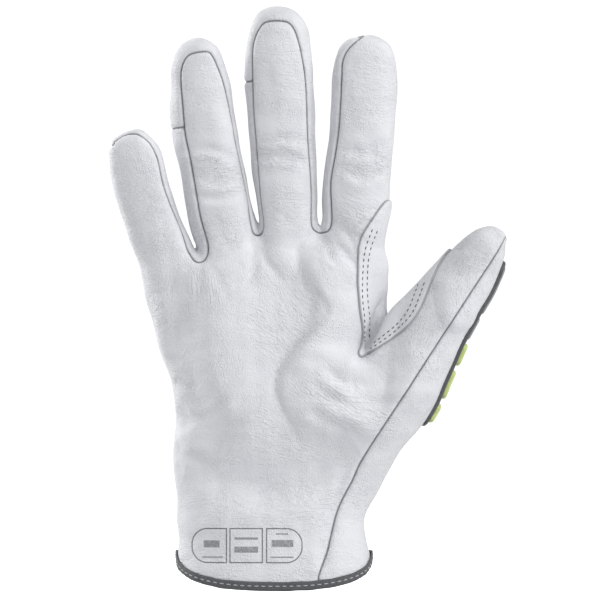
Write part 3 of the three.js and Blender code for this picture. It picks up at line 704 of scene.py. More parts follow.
class HandForm:
    """The filled hand form that every piece of the glove is laid on."""

    def __init__(self) -> None:
        """Works out the form and its marks."""
        self.steps = [np.arange(low, high, CELL, dtype=np.float32) for low, high in zip(SPACE_LOW, SPACE_HIGH)]
        self.surface = self.make_surface()
        self.add_folds()
        self.mark_regions()

    def distance(self, shape: Digit | Palm, low: np.ndarray, high: np.ndarray) -> tuple[tuple, np.ndarray]:
        """Distance field of one shape inside a box of the space.

        Args:
            shape: The digit or the palm.
            low: Lowest corner of the box.
            high: Highest corner of the box.

        Returns:
            The box's slices and the distances in it.
        """
        spans = []
        for steps, start, end in zip(self.steps, low, high):
            first = int(np.clip(np.searchsorted(steps, start), 0, len(steps) - 2))
            last = int(np.clip(np.searchsorted(steps, end), first + 2, len(steps)))
            spans.append(slice(first, last))
        x, y, z = np.meshgrid(*(steps[span] for steps, span in zip(self.steps, spans)), indexing="ij", sparse=True)
        x, y, z = np.broadcast_arrays(x, y, z)
        square = shape.square_field(x, y, z)
        steep = np.sqrt(sum(part**2 for part in np.gradient(square, CELL)))
        return tuple(spans), np.clip(square / np.maximum(steep, 1.0), -FAR_OUT, FAR_OUT)

    def digit_distance(self, digit: Digit) -> np.ndarray:
        """Distance field of one digit over the whole space, ended inside the palm."""
        tip = np.array(digit.place(0, 1.0))
        base = np.array(digit.place(0, digit.rows[0][0] - 0.15))
        low = np.minimum(tip, base) - digit.width
        high = np.maximum(tip, base) + digit.width
        spans, near = self.distance(digit, (low[0], SPACE_LOW[1], low[1]), (high[0], SPACE_HIGH[1], high[1]))
        x, y, z = np.meshgrid(*(steps[span] for steps, span in zip(self.steps, spans)), indexing="ij", sparse=True)
        rise = digit.local(x, y, z)[2]
        ended = smooth_cut(near, (digit.rows[0][0] - rise) * digit.length, END_BLEND)
        whole = np.full([len(steps) for steps in self.steps], FAR_OUT, np.float32)
        whole[spans] = ended
        return whole

    def make_surface(self) -> Surface:
        """Joins the palm and the digits and turns the form into triangles."""
        digits = [self.digit_distance(digit) for digit in (*FINGERS, THUMB)]
        across = self.steps[0][:, None, None]
        height = self.steps[2][None, None, :]
        crotch = CROTCH_LOW + (CROTCH_HIGH - CROTCH_LOW) * smooth_step(-29.0, -20.0, across)
        blend = DIGIT_BLEND + WEB_BLEND * smooth_step(2.0, -9.0, height - crotch)
        hand = digits[0]
        for near in digits[1:]:
            hand = smooth_union(hand, near, blend)
        palm = self.distance(PALM, SPACE_LOW, SPACE_HIGH)[1]
        palm = smooth_cut(palm, height - PALM.top, END_BLEND)
        near_thumb = smooth_step(33.0, 42.0, across) * smooth_step(96.0, 108.0, height) * smooth_step(140.0, 130.0, height)
        self.field = smooth_union(hand, palm, PALM_BLEND - 4.5 * near_thumb) + SKIN_INSET
        grid = openvdb.FloatGrid(FAR_OUT)
        grid.copyFromArray(np.ascontiguousarray(self.field, np.float32))
        points, quads = grid.convertToQuads(isovalue=0.0)
        points = points.astype(float) * CELL + np.array(SPACE_LOW)
        faces = np.vstack([quads[:, [0, 1, 2]], quads[:, [0, 2, 3]]]).astype(np.int64)
        a, b, c = (points[faces[:, i]] for i in range(3))
        if np.einsum("ij,ij->i", a, np.cross(b, c)).sum() < 0:
            faces = faces[:, ::-1]
        points = self.settle(points, faces)
        return Surface(points, faces, normals_of(points, faces))

    def settle(self, points: np.ndarray, faces: np.ndarray, rounds: int = 4) -> np.ndarray:
        """Evens out the points and draws them back onto the form."""
        edges = np.vstack([faces[:, [0, 1]], faces[:, [1, 2]], faces[:, [2, 0]]])
        for _ in range(rounds):
            total = np.zeros_like(points)
            count = np.zeros(len(points))
            np.add.at(total, edges[:, 0], points[edges[:, 1]])
            np.add.at(count, edges[:, 0], 1)
            normals = normals_of(points, faces)
            points = 0.5 * points + 0.5 * total / count[:, None]
            points = points - normals * np.clip(self.read(points), -0.6, 0.6)[:, None]
        return points

    def read(self, points: np.ndarray) -> np.ndarray:
        """Distance from the form at places in the space."""
        place = (points - np.array(SPACE_LOW)) / CELL
        limit = np.array(self.field.shape) - 2
        cell = np.clip(np.floor(place).astype(int), 0, limit)
        part = np.clip(place - cell, 0, 1)
        total = np.zeros(len(points))
        for i in (0, 1):
            for j in (0, 1):
                for k in (0, 1):
                    weight = (
                        np.abs(1 - i - part[:, 0]) * np.abs(1 - j - part[:, 1]) * np.abs(1 - k - part[:, 2])
                    )
                    total += weight * self.field[cell[:, 0] + i, cell[:, 1] + j, cell[:, 2] + k]
        return total

    def add_folds(self) -> None:
        """Moves the surface by the folds, the gathers and the soft unevenness of worn leather."""
        surface = self.surface
        points, normals = surface.points, surface.normals
        push = self.push_at(points, normals)
        surface.points = points + normals * push[:, None]
        surface.normals = normals_of(surface.points, surface.faces)

    def push_at(self, points: np.ndarray, normals: np.ndarray) -> np.ndarray:
        """How far folds, gathers and unevenness move the leather out at places on it."""
        front = smooth_step(0.15, 0.6, -normals[:, 1])
        rear = smooth_step(0.15, 0.6, normals[:, 1])
        view = points[:, [0, 2]]
        push = 0.2 * ripple(points, 19.0, 3) + 0.1 * front * ripple(points, 8.0, 5)
        for fold in FOLDS:
            close, away, share = near_line(view, fold.points, 3.5 * fold.reach)
            fade = np.sin(math.pi * share) ** 0.6
            dent = -fold.depth * (0.2 + 0.8 * fade) * np.exp(-((away / fold.reach) ** 2))
            beside = away - math.copysign(1.8 * fold.reach, fold.ridge)
            lift = abs(fold.ridge) * fade * np.exp(-((beside / fold.reach) ** 2))
            weight = smooth_step(6.0, -12.0, points[close, 1]) if fold.over else front[close]
            push[close] += weight * (dent + lift)
        for ledge in LEDGES:
            push += front * ledge.lift(view)
        for order, patch in enumerate(WRINKLES):
            turn = math.radians(patch.turn)
            strength = patch_strength(view, patch) * front
            close = np.flatnonzero(strength > 0.03)
            along = (view[close] @ (math.cos(turn), math.sin(turn))) / patch.stretch
            over = view[close] @ (-math.sin(turn), math.cos(turn))
            swell = ripple(np.column_stack([along, over, 0 * over]), 2 * patch.pitch, 40 + order)
            push[close] -= patch.depth * strength[close] * np.exp(-((swell / 0.45) ** 2))
        near = np.exp(-(((points[:, 2] - 29.4) / 11.0) ** 2))
        wave = np.cos(2 * math.pi * points[:, 0] / 5.5 + 0.9 * np.sin(points[:, 0] / 7.0))
        push += rear * near * (0.55 * wave - 0.5)
        return push

    def mark_regions(self) -> None:
        """Marks how far each point is from the seams and the hem, and how the fine wrinkles run there."""
        surface = self.surface
        points = surface.points
        x, y, z = points.T
        view = points[:, [0, 2]]
        marks = surface.marks
        marks["plate"] = inside_distance(view, seam_outline())
        surface.along_surface("plate")
        spots = {name: digit.local(x, y, z) for name, digit in DIGIT_NAMES.items()}
        nearest = np.stack([np.hypot(side, deep) / digit.width + 2 * np.maximum(rise - 1, 0)
                            for digit, (side, deep, rise) in zip(DIGIT_NAMES.values(), spots.values())])
        who = nearest.argmin(axis=0)
        thumb_share = smooth_step(-0.2, 0.2, nearest[3] - nearest[4])
        low = np.minimum(x, 0) < -20
        finger_bow = np.where(low, LITTLE.bow(np.maximum(spots["little"][2], 0)), INDEX.bow(np.maximum(spots["index"][2], 0)))
        wrap = 2.5 - 2.0 * thumb_share
        middle = finger_bow * (1 - thumb_share) + THUMB.bow(np.clip(spots["thumb"][2], -0.3, 1.1)) * thumb_share
        marks["front"] = np.minimum(marks["plate"], middle + wrap - y)
        zones = {}
        pairs = (("little", "ring"), ("ring", "middle"), ("middle", "index"))
        names = list(DIGIT_NAMES)
        for first, following in pairs:
            zone = np.full(len(points), -9.0)
            side, _, rise = spots[first]
            digit = DIGIT_NAMES[first]
            mine = np.maximum(side, (rise - digit.joint) * digit.length)
            zone = np.where(who == names.index(first), mine, zone)
            side, _, rise = spots[following]
            digit = DIGIT_NAMES[following]
            its = np.minimum(-side, (digit.joint - rise) * digit.length)
            zone = np.where(who == names.index(following), its, zone)
            zones[f"strip_{first}"] = np.minimum(np.minimum(-marks["plate"], zone), z - STRIP_LOW)
        marks.update(zones)
        marks["hem"] = z - hem_height(y) - HEM_LEATHER_START
        marks.update(wrinkle_flow(points))


def hem_height(y: np.ndarray) -> np.ndarray:
    """Height of the hem's lowest edge, which dips at the front of the wrist."""
    return HEM_RISE * (1 + np.minimum(y, 0) / HEM_FRONT)


DIGIT_NAMES = {"little": LITTLE, "ring": RING, "middle": MIDDLE, "index": INDEX, "thumb": THUMB}


def seam_outline() -> np.ndarray:
    """Outline, in the front view, of all that the palm leather covers."""

    def on(digit: Digit, *pairs: tuple[float, float]) -> list[tuple[float, float]]:
        return [digit.place(side, rise) for rise, side in pairs]

    points = [
        (-56.0, -20.0), (-56.0, 30.0), (-58.0, 80.0), (-66.0, 125.0), (-76.0, 165.0), (-78.5, 188.0),
        *on(LITTLE, (0.945, -10.0), (0.962, -8.0), (0.977, -4.2), (0.975, -1.0), (0.957, 2.5), (0.91, 5.3), (0.856, 6.7), (0.767, 7.1),
            (0.63, 5.8), (0.487, 5.8), (0.341, 6.5), (0.224, 6.2)),
        (-35.6, 142.6), (-34.0, 140.2), (-31.9, 139.4), (-29.6, 140.6), (-28.4, 143.7), (-28.7, 148.0),
        *on(RING, (0.202, -9.3), (0.309, -9.6), (0.411, -9.8), (0.5, -10.1), (0.583, -10.6), (0.705, -9.9),
            (0.8265, -9.1), (0.886, -7.5), (0.9225, -4.7), (0.932, -1.0), (0.931, 2.6), (0.925, 4.9),
            (0.895, 6.5), (0.813, 8.6), (0.73, 9.6), (0.62, 10.2), (0.51, 10.5), (0.435, 11.0), (0.262, 12.0),
            (0.19, 11.8)),
        (-9.4, 154.2), (-8.7, 151.8), (-7.2, 150.8), (-5.7, 151.6), (-4.9, 154.4), (-5.2, 159.0),
        *on(MIDDLE, (0.2, -9.8), (0.288, -10.2), (0.449, -11.0), (0.578, -11.6), (0.77, -11.4), (0.841, -10.7),
            (0.895, -8.6), (0.924, -6.2), (0.932, -4.0), (0.934, -0.5), (0.931, 2.5), (0.922, 5.0),
            (0.893, 7.2), (0.828, 9.3), (0.732, 10.9), (0.635, 11.6), (0.443, 11.7), (0.281, 12.4), (0.19, 12.5),
            (0.14, 12.3)),
        (16.0, 155.6), (17.2, 153.0), (19.8, 151.9), (22.6, 152.7), (23.9, 155.6), (24.0, 160.0),
        *on(INDEX, (0.195, -10.7), (0.287, -11.4), (0.406, -10.3), (0.535, -9.35), (0.682, -9.3), (0.78, -9.4), (0.853, -9.5),
            (0.907, -8.0), (0.952, -4.8), (0.972, -2.8), (0.992, -0.5), (1.01, 4.0), (1.0, 14.0), (0.9, 21.0), (0.6, 23.0), (0.3, 23.0)),
        (58.0, 168.0), (62.0, 150.0),
        (66.0, 140.0), (72.0, 150.0), (84.0, 162.0), (95.0, 163.0), (99.5, 156.0), (98.9, 151.5),
        *on(THUMB, (0.9, 4.4), (0.7, 4.3), (0.4, 4.3), (0.1, 4.3), (-0.1, 4.3), (-0.3, 4.3), (-0.42, 4.4)),
        (33.1, 46.8), (29.4, 40.0), (26.6, 33.6), (24.3, 25.0), (22.4, 16.9), (18.8, 6.2), (11.0, -20.0),
    ]
    return smooth_line(points, 3, closed=True)


def glue(name: str, points: np.ndarray, faces: np.ndarray, rough: np.ndarray | None = None,
         marks: dict[str, np.ndarray] | None = None) -> bpy.types.Object:
    """Makes a piece from points in millimetres.

    Args:
        name: Name of the piece.
        points: Its points, one row each.
        faces: Its faces, one row each.
        rough: For each face, the number of its material.
        marks: Values to keep at the points for the materials to read.

    Returns:
        The piece, at the origin.
    """
    mesh = bpy.data.meshes.new(name)
    mesh.from_pydata((points * MM).tolist(), [], faces.tolist())
    if rough is not None:
        mesh.polygons.foreach_set("material_index", rough.astype(np.int32))
    for key, values in (marks or {}).items():
        layer = mesh.attributes.new(name=key, type="FLOAT", domain="POINT")
        layer.data.foreach_set("value", values.astype(np.float32))
    mesh.shade_smooth()
    mesh.set_sharp_from_angle(angle=math.radians(50))
    mesh.update()
    piece = bpy.data.objects.new(name, mesh)
    bpy.context.scene.collection.objects.link(piece)
    return piece


def shell(name: str, skin: Surface, outer: np.ndarray, inner: np.ndarray) -> bpy.types.Object:
    """Closed wall between two offsets of an open surface.

    Args:
        name: Name of the piece.
        skin: The open surface.
        outer: Outward offset of the outer face at each point.
        inner: Outward offset of the inner face at each point.

    Returns:
        The piece, whose inner face has the second material.
    """
    count = len(skin.points)
    top = skin.points + skin.normals * outer[:, None]
    low = skin.points + skin.normals * inner[:, None]
    faces = skin.faces
    edges = np.vstack([faces[:, [0, 1]], faces[:, [1, 2]], faces[:, [2, 0]]])
    keys = edges[:, 0] * count + edges[:, 1]
    rim = edges[~np.isin(keys, edges[:, 1] * count + edges[:, 0])]
    a, b = rim.T
    walls = np.vstack([np.stack([b, a, a + count], axis=1), np.stack([b, a + count, b + count], axis=1)])
    whole = np.vstack([faces, walls, faces[:, ::-1] + count])
    rough = np.concatenate([np.zeros(len(faces) + len(walls), int), np.ones(len(faces), int)])
    marks = {key: np.concatenate([kept, kept]) for key, kept in skin.marks.items() if key in KEPT_MARKS}
    return glue(name, np.vstack([top, low]), whole, rough, marks)


class Leather:
    """The leather panels, cut from one skin along the seams."""

    def __init__(self, form: HandForm) -> None:
        """Cuts the skin of the form along every seam."""
        skin = form.surface
        skin = skin.cut_at("hem")
        skin = skin.part(skin.middle_of("hem") > 0)
        for name in ("front", "strip_little", "strip_ring", "strip_middle"):
            skin = skin.cut_at(name)
        near = np.full(len(skin.points), 99.0)
        for name in ("front", "strip_little", "strip_ring", "strip_middle"):
            near = np.minimum(near, np.abs(skin.marks[name]))
        # Distance from the nearest seam: it turns the edges in and draws the painted shade in the grooves
        skin.marks["seam"] = near
        for level in GROOVE_LINES:
            skin = skin.cut_at("seam", level)
        self.skin = skin

    def panels(self) -> dict[str, Surface]:
        """The panels by the name of the CAD node that each stands for."""
        skin = self.skin
        front = skin.middle_of("front") > 0
        strips = {name: skin.middle_of(name) > 0 for name in ("strip_little", "strip_ring", "strip_middle")}
        rest = ~front & ~strips["strip_little"] & ~strips["strip_ring"] & ~strips["strip_middle"]
        return {
            "palm_leather": skin.part(front).largest(),
            "back_leather": skin.part(rest).largest(),
            "fourchette_little_ring": skin.part(strips["strip_little"] & ~front).largest(),
            "fourchette_ring_middle": skin.part(strips["strip_ring"] & ~front).largest(),
            "fourchette_middle_index": skin.part(strips["strip_middle"] & ~front).largest(),
        }

    def build(self) -> list[bpy.types.Object]:
        """Makes the panels as closed walls with their edges turned in at the seams."""
        pieces = []
        for name, skin in self.panels().items():
            near = skin.marks["seam"]
            turned = GROOVE_DEPTH * np.clip(1 - near / GROOVE_REACH, 0, 1) ** 2
            puff = 0.14 * np.exp(-(((near - 2.4) / 1.1) ** 2))
            piece = shell(f"{name}_skin", skin, puff - turned, np.full(len(near), -LEATHER))
            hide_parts(name)
            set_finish(piece, "white_leather")
            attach(piece, BODY)
            pieces.append(piece)
            LOG.info("%s: %d points, %d faces", piece.name, len(piece.data.vertices), len(piece.data.polygons))
        return pieces


class Slot(Enum):
    """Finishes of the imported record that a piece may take."""

    LEATHER = "white_leather"
    BINDING = "dark_binding"
    GREY = "grey_rubber"
    PALE = "pale_rubber"
    LIME = "lime_rubber"


def round_box(across: np.ndarray, along: np.ndarray, low: tuple[float, float], high: tuple[float, float],
              corner: float) -> np.ndarray:
    """Distance inside a rounded rectangle, positive inside it."""
    half = np.array([(high[0] - low[0]) / 2 - corner, (high[1] - low[1]) / 2 - corner])
    dx = np.abs(across - (low[0] + high[0]) / 2) - half[0]
    dz = np.abs(along - (low[1] + high[1]) / 2) - half[1]
    outside = np.hypot(np.maximum(dx, 0), np.maximum(dz, 0))
    return corner - outside - np.minimum(np.maximum(dx, dz), 0)


@dataclass(frozen=True)
class Pad:
    """A piece laid on the glove: its rise over the leather and how its edge is rounded."""

    name: str
    node: str
    slot: Slot
    base: float
    top: float
    edge: float
    groove: float = 0.0

    def build(self, form: HandForm, value: np.ndarray, low: float = -0.1) -> bpy.types.Object:
        """Makes the piece.

        Args:
            form: The hand form under it.
            value: For each point of the form, how far inside the piece's outline it is.
            low: Offset of the face that lies on the glove.

        Returns:
            The closed piece.
        """
        marks = {"pad": value}
        marks.update({key: kept for key, kept in form.surface.marks.items() if key in KEPT_MARKS})
        whole = Surface(form.surface.points, form.surface.faces, form.surface.normals, marks)
        close = value[whole.faces].max(axis=1) > -3.0
        skin = whole.part(close)
        skin.along_surface("pad")
        skin = skin.cut_at("pad")
        skin = skin.part(skin.middle_of("pad") > 0).largest()
        lines = [self.edge * share for share in (0.12, 0.4, 1.0)]
        if self.groove:
            lines += [2.2 * self.edge, 2.7 * self.edge, 3.2 * self.edge]
        for level in lines:
            skin = skin.cut_at("pad", level)
        inside = skin.marks["pad"]
        bend = np.clip(inside / self.edge, 0, 1)
        rise = self.base + (self.top - self.base) * np.sqrt(1 - (1 - bend) ** 2)
        rise -= self.groove * np.exp(-(((inside / self.edge - 2.7) / 0.3) ** 2))
        # Distance in from the piece's edge, which the finishes read: on the leather patch it draws the painted shade at
        # the edge, on rubber it darkens the edge
        skin.marks["seam"] = inside
        piece = shell(self.name, skin, rise, np.full(len(rise), low))
        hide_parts(self.node)
        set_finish(piece, self.slot.value)
        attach(piece, BODY)
        LOG.info("%s: %d points", piece.name, len(piece.data.vertices))
        return piece


@dataclass(frozen=True)
class ThumbPatch:
    """Saddle patch over the crotch of the thumb, with two rows of stitches along each side."""

    rise: float = 1.35
    edge: float = 1.1
    outline: tuple[tuple[float, float], ...] = (
        (48.6, 165.6), (46.2, 164.8), (42.4, 159.6), (38.8, 153.9), (36.4, 149.2), (35.3, 143.7),
        (35.0, 137.0), (34.8, 131.0), (35.3, 124.5), (35.9, 118.0), (36.8, 112.5), (36.9, 107.6),
        (36.1, 103.7), (35.1, 100.6), (36.4, 98.8), (38.4, 99.3), (42.4, 101.6), (47.0, 104.6), (51.2, 107.3),
        (55.4, 110.6), (59.5, 115.2), (61.8, 118.9), (63.6, 122.6), (65.6, 127.4), (67.2, 131.6), (70.2, 138.0),
        (72.8, 141.8), (75.6, 145.6), (74.0, 153.0), (66.0, 156.0), (58.0, 158.0), (53.5, 160.0), (51.0, 163.0),
    )
    rows: tuple[tuple[tuple[float, float], ...], ...] = (
        ((41.3, 152.6), (38.9, 146.0), (37.8, 139.5), (37.3, 130.0), (37.4, 123.0), (38.2, 115.5), (38.3, 106.0)),
        ((43.4, 152.0), (41.0, 145.6), (39.8, 139.5), (39.3, 130.0), (39.6, 123.0), (40.4, 115.5), (40.3, 108.0)),
        ((41.0, 102.8), (46.0, 106.2), (51.2, 110.2), (56.0, 114.8), (59.0, 118.9), (61.0, 123.6), (63.3, 130.0)),
        ((42.6, 105.4), (46.4, 108.4), (51.0, 112.2), (54.4, 115.8), (57.0, 119.8), (58.9, 124.6), (60.8, 129.5)),
    )

    def build(self, form: HandForm) -> bpy.types.Object:
        """Makes the patch."""
        outline = smooth_line(list(self.outline), 3, closed=True)
        value = inside_distance(form.surface.points[:, [0, 2]], outline)
        pad = Pad("thumb_patch", "thumb_crotch_patch", Slot.LEATHER, 0.35, self.rise, self.edge)
        return pad.build(form, value)


@dataclass(frozen=True)
class GuardBar:
    """One raised bar of a guard, from and to along it and low and high across it, in millimetres."""

    start: float
    end: float
    low: float
    high: float
    slot: Slot


@dataclass(frozen=True)
class ThumbGuard:
    """Rubber guard on the back of the thumb, turned to its outer side."""

    turn: float = 42.0
    start: float = -6.5
    end: float = 70.7
    low: float = -11.5
    high: float = 12.6
    taper: float = 4.5
    plate: float = 1.6
    bar: float = 3.2
    low_bar: float = 2.2
    bars: tuple[GuardBar, ...] = (
        GuardBar(-3.7, 5.3, -10.8, 9.0, Slot.LIME),
        GuardBar(7.4, 20.4, -10.8, 10.8, Slot.LIME),
        GuardBar(22.5, 32.7, -10.8, 10.8, Slot.LIME),
        GuardBar(34.7, 44.9, -10.8, 10.8, Slot.PALE),
        GuardBar(47.0, 68.6, -10.8, 9.6, Slot.PALE),
    )

    def build(self, form: HandForm) -> list[bpy.types.Object]:
        """Makes the plate and its bars."""
        side, deep, rise = THUMB.local(*form.surface.points.T)
        turn = math.radians(self.turn)
        out = side * math.cos(turn) + deep * math.sin(turn)
        across = deep * math.cos(turn) - side * math.sin(turn)
        along = rise * THUMB.length
        across = across - self.taper * smooth_step(40.0, 68.0, along)
        behind = np.where(out > 0, 0.0, 30.0)
        value = round_box(across, along, (self.low, self.start), (self.high, self.end), 5.0) - behind
        plate = Pad("thumb_guard_plate_skin", "thumb_guard_plate", Slot.GREY, 0.9, self.plate, 0.7)
        pieces = [plate.build(form, value)]
        for order, bar in enumerate(self.bars, 1):
            value = round_box(across, along, (bar.low, bar.start), (bar.high, bar.end), 2.4) - behind
            top = self.bar if bar.slot is Slot.LIME else self.low_bar
            pad = Pad(f"thumb_guard_bar_{order}", f"thumb_guard_rib_{order}", bar.slot, 1.7, top, 1.3, 0.3)
            pieces.append(pad.build(form, value, self.plate - 0.4))
        return pieces


@dataclass(frozen=True)
class HandGuard:
    """Rubber guard on the back of the hand, with upright bars."""

    edge: float = 6.84
    plate: float = 1.6
    bar: float = 3.9
    outline: tuple[tuple[float, float], ...] = (
        (-63.0, 100.0), (-40.8, 88.2), (-15.0, 82.6), (10.2, 82.3), (24.5, 97.0), (28.0, 118.0), (27.5, 136.7),
        (20.4, 144.8), (-6.0, 140.5), (-32.6, 133.8), (-63.0, 128.0),
    )
    bars: tuple[GuardBar, ...] = (
        GuardBar(104.4, 125.0, -61.2, -43.9, Slot.PALE),
        GuardBar(95.6, 129.4, -40.8, -26.5, Slot.LIME),
        GuardBar(91.1, 133.8, -24.0, -9.2, Slot.LIME),
        GuardBar(88.9, 136.0, -6.6, 8.2, Slot.LIME),
        GuardBar(97.0, 136.7, 10.7, 21.9, Slot.LIME),
    )

    def build(self, form: HandForm) -> list[bpy.types.Object]:
        """Makes the plate and its bars."""
        x, y, z = form.surface.points.T
        behind = y - self.edge
        outline = smooth_line(list(self.outline), 3, closed=True)
        value = np.minimum(inside_distance(form.surface.points[:, [0, 2]], outline), behind)
        plate = Pad("hand_guard_plate_skin", "hand_guard_plate", Slot.GREY, 0.9, self.plate, 0.7)
        pieces = [plate.build(form, value)]
        for order, bar in enumerate(self.bars, 1):
            inside = round_box(x, z, (bar.low, bar.start), (bar.high, bar.end), 4.0)
            value = np.minimum(inside, behind - 0.8)
            pad = Pad(f"hand_guard_bar_{order}", f"hand_guard_rib_{order}", bar.slot, 2.2, self.bar, 1.3, 0.3)
            pieces.append(pad.build(form, value, self.plate - 0.4))
        return pieces


@dataclass(frozen=True)
class HemBinding:
    """Dark tape folded round the hem, with one row of pale stitches."""

    parts: int = 300
    stitch_height: float = 2.1
    profile: tuple[tuple[float, float], ...] = (
        (0.05, 3.75), (0.45, 3.95), (0.75, 3.7), (0.86, 3.0), (0.8, 2.1), (0.86, 1.1), (0.75, 0.45), (0.4, 0.08),
        (-0.75, -0.02), (-2.1, 0.08), (-2.6, 0.45), (-2.75, 1.1), (-2.7, 3.0), (-2.55, 3.75), (-2.15, 3.95),
        (-1.75, 3.75), (-1.7, 1.4), (-0.05, 1.4),
    )

    def path(self, form: HandForm) -> tuple[np.ndarray, np.ndarray]:
        """Points of the leather's edge at the hem and the outward direction at each."""
        turns = np.linspace(0, 2 * math.pi, self.parts, endpoint=False)
        rim = []
        for turn in turns:
            height = HEM_RISE
            for _ in range(8):
                x, y = PALM.rim(float(turn), height)
                height = float(hem_height(np.array(y)))
            rim.append((x, y, height))
        points = np.array(rim)
        run = np.roll(points, -1, axis=0) - np.roll(points, 1, axis=0)
        run /= np.linalg.norm(run, axis=1, keepdims=True)
        out = np.cross(run, (0, 0, 1))
        out /= np.linalg.norm(out, axis=1, keepdims=True)
        push = form.push_at(points + np.array((0, 0, 3.0)), out)
        return points + out * (push - SKIN_INSET)[:, None], out

    def build(self, form: HandForm) -> bpy.types.Object:
        """Makes the tape."""
        points, out = self.path(form)
        length = np.cumsum(np.linalg.norm(np.diff(points, axis=0, append=points[:1]), axis=1))
        pucker = 0.1 * np.sin(2 * math.pi * length / 3.1) + 0.12 * ripple(points, 9.0, 21)
        rings = []
        for away, height in self.profile:
            loose = pucker * (0.4 + 0.6 * abs(height - self.stitch_height) / 2) * np.sign(away + 0.75)
            lift = 0.07 * ripple(points + (0, 0, 40), 8.0, 22)
            rings.append(points + out * (away + loose)[:, None] + np.array((0, 0, 1)) * (height + lift)[:, None])
        count = len(self.profile)
        places = np.stack(rings, axis=1).reshape(-1, 3)
        here = np.arange(self.parts)
        after = (here + 1) % self.parts
        faces = []
        for spot in range(count):
            following = (spot + 1) % count
            faces.append(np.stack([here * count + spot, here * count + following, after * count + following,
                                   after * count + spot], axis=1))
        piece = glue("hem_binding", places, np.vstack(faces))
        outward(piece)
        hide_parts("cuff_binding")
        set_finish(piece, Slot.BINDING.value)
        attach(piece, BODY)
        return piece

    def stitch_path(self, form: HandForm) -> np.ndarray:
        """Line of the stitches on the outer face of the tape."""
        points, out = self.path(form)
        return points + out * 0.85 + np.array((0, 0, self.stitch_height))


def outward(piece: bpy.types.Object) -> None:
    """Turns the faces of a closed piece outwards."""
    mesh = piece.data
    volume = 0.0
    for face in mesh.polygons:
        a = mesh.vertices[face.vertices[0]].co
        for i in range(1, len(face.vertices) - 1):
            b = mesh.vertices[face.vertices[i]].co
            c = mesh.vertices[face.vertices[i + 1]].co
            volume += a.dot(b.cross(c))
    if volume < 0:
        mesh.flip_normals()


class StitchMaker:
    """Rows of stitches, laid along a line by Geometry Nodes."""

    def __init__(self) -> None:
        """Builds the node tree that lays stitches along a line."""
        tree = bpy.data.node_groups.new("stitch_row", "GeometryNodeTree")
        face = tree.interface
        face.new_socket("Line", in_out="INPUT", socket_type="NodeSocketGeometry")
        for name, value in (("Pitch", 2.9 * MM), ("Length", 2.1 * MM), ("Thickness", 0.5 * MM)):
            face.new_socket(name, in_out="INPUT", socket_type="NodeSocketFloat").default_value = value
        face.new_socket("Thread", in_out="INPUT", socket_type="NodeSocketMaterial")
        face.new_socket("Stitches", in_out="OUTPUT", socket_type="NodeSocketGeometry")
        add = tree.nodes.new
        start, end = add("NodeGroupInput"), add("NodeGroupOutput")
        curve = add("GeometryNodeMeshToCurve")
        spaced = add("GeometryNodeResampleCurve")
        spaced.mode = "LENGTH"
        tangent = add("GeometryNodeInputTangent")
        turn = add("FunctionNodeAlignRotationToVector")
        turn.axis = "X"
        bead = add("GeometryNodeMeshUVSphere")
        bead.inputs["Segments"].default_value = 8
        bead.inputs["Rings"].default_value = 7
        bead.inputs["Radius"].default_value = 0.5
        size = add("ShaderNodeCombineXYZ")
        lay = add("GeometryNodeInstanceOnPoints")
        real = add("GeometryNodeRealizeInstances")
        smooth = add("GeometryNodeSetShadeSmooth")
        dress = add("GeometryNodeSetMaterial")
        link = tree.links.new
        link(start.outputs["Line"], curve.inputs["Mesh"])
        link(curve.outputs["Curve"], spaced.inputs["Curve"])
        link(start.outputs["Pitch"], spaced.inputs["Length"])
        link(spaced.outputs["Curve"], lay.inputs["Points"])
        link(tangent.outputs["Tangent"], turn.inputs["Vector"])
        link(turn.outputs["Rotation"], lay.inputs["Rotation"])
        link(start.outputs["Length"], size.inputs["X"])
        link(start.outputs["Thickness"], size.inputs["Y"])
        link(start.outputs["Thickness"], size.inputs["Z"])
        link(size.outputs["Vector"], lay.inputs["Scale"])
        link(bead.outputs["Mesh"], lay.inputs["Instance"])
        link(lay.outputs["Instances"], real.inputs["Geometry"])
        link(real.outputs["Geometry"], smooth.inputs["Geometry"])
        link(smooth.outputs["Geometry"], dress.inputs["Geometry"])
        link(start.outputs["Thread"], dress.inputs["Material"])
        link(dress.outputs["Geometry"], end.inputs["Stitches"])
        self.tree = tree

    def sew(self, name: str, lines: list[np.ndarray], thread: bpy.types.Material, slot: Slot, pitch: float,
            length: float, thickness: float, closed: bool = False) -> bpy.types.Object:
        """Lays stitches along lines and turns them into one plain mesh.

        Args:
            name: Name of the piece.
            lines: Lines in millimetres, one row for each point.
            thread: Material of the thread.
            slot: Finish of the record that the piece takes.
            pitch: From one stitch to the next, in millimetres.
            length: Length of a stitch, in millimetres.
            thickness: Thickness of the thread, in millimetres.
            closed: Whether each line is a loop.

        Returns:
            The stitches as one piece.
        """
        points, edges = [], []
        for line in lines:
            first = len(points)
            points += [tuple(place * MM) for place in line]
            edges += [(i, i + 1) for i in range(first, len(points) - 1)]
            if closed:
                edges.append((len(points) - 1, first))
        guide = bpy.data.meshes.new(f"{name}_line")
        guide.from_pydata(points, edges, [])
        holder = bpy.data.objects.new(f"{name}_line", guide)
        bpy.context.scene.collection.objects.link(holder)
        modifier = holder.modifiers.new("stitches", "NODES")
        modifier.node_group = self.tree
        values = {"Pitch": pitch * MM, "Length": length * MM, "Thickness": thickness * MM, "Thread": thread}
        for item in self.tree.interface.items_tree:
            if item.name in values and item.in_out == "INPUT":
                modifier[item.identifier] = values[item.name]
        graph = bpy.context.evaluated_depsgraph_get()
        mesh = bpy.data.meshes.new_from_object(holder.evaluated_get(graph), depsgraph=graph)
        bpy.data.objects.remove(holder)
        mesh.name = name
        piece = bpy.data.objects.new(name, mesh)
        bpy.context.scene.collection.objects.link(piece)
        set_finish(piece, slot.value)
        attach(piece, BODY)
        LOG.info("%s: %d faces", name, len(mesh.polygons))
        return piece


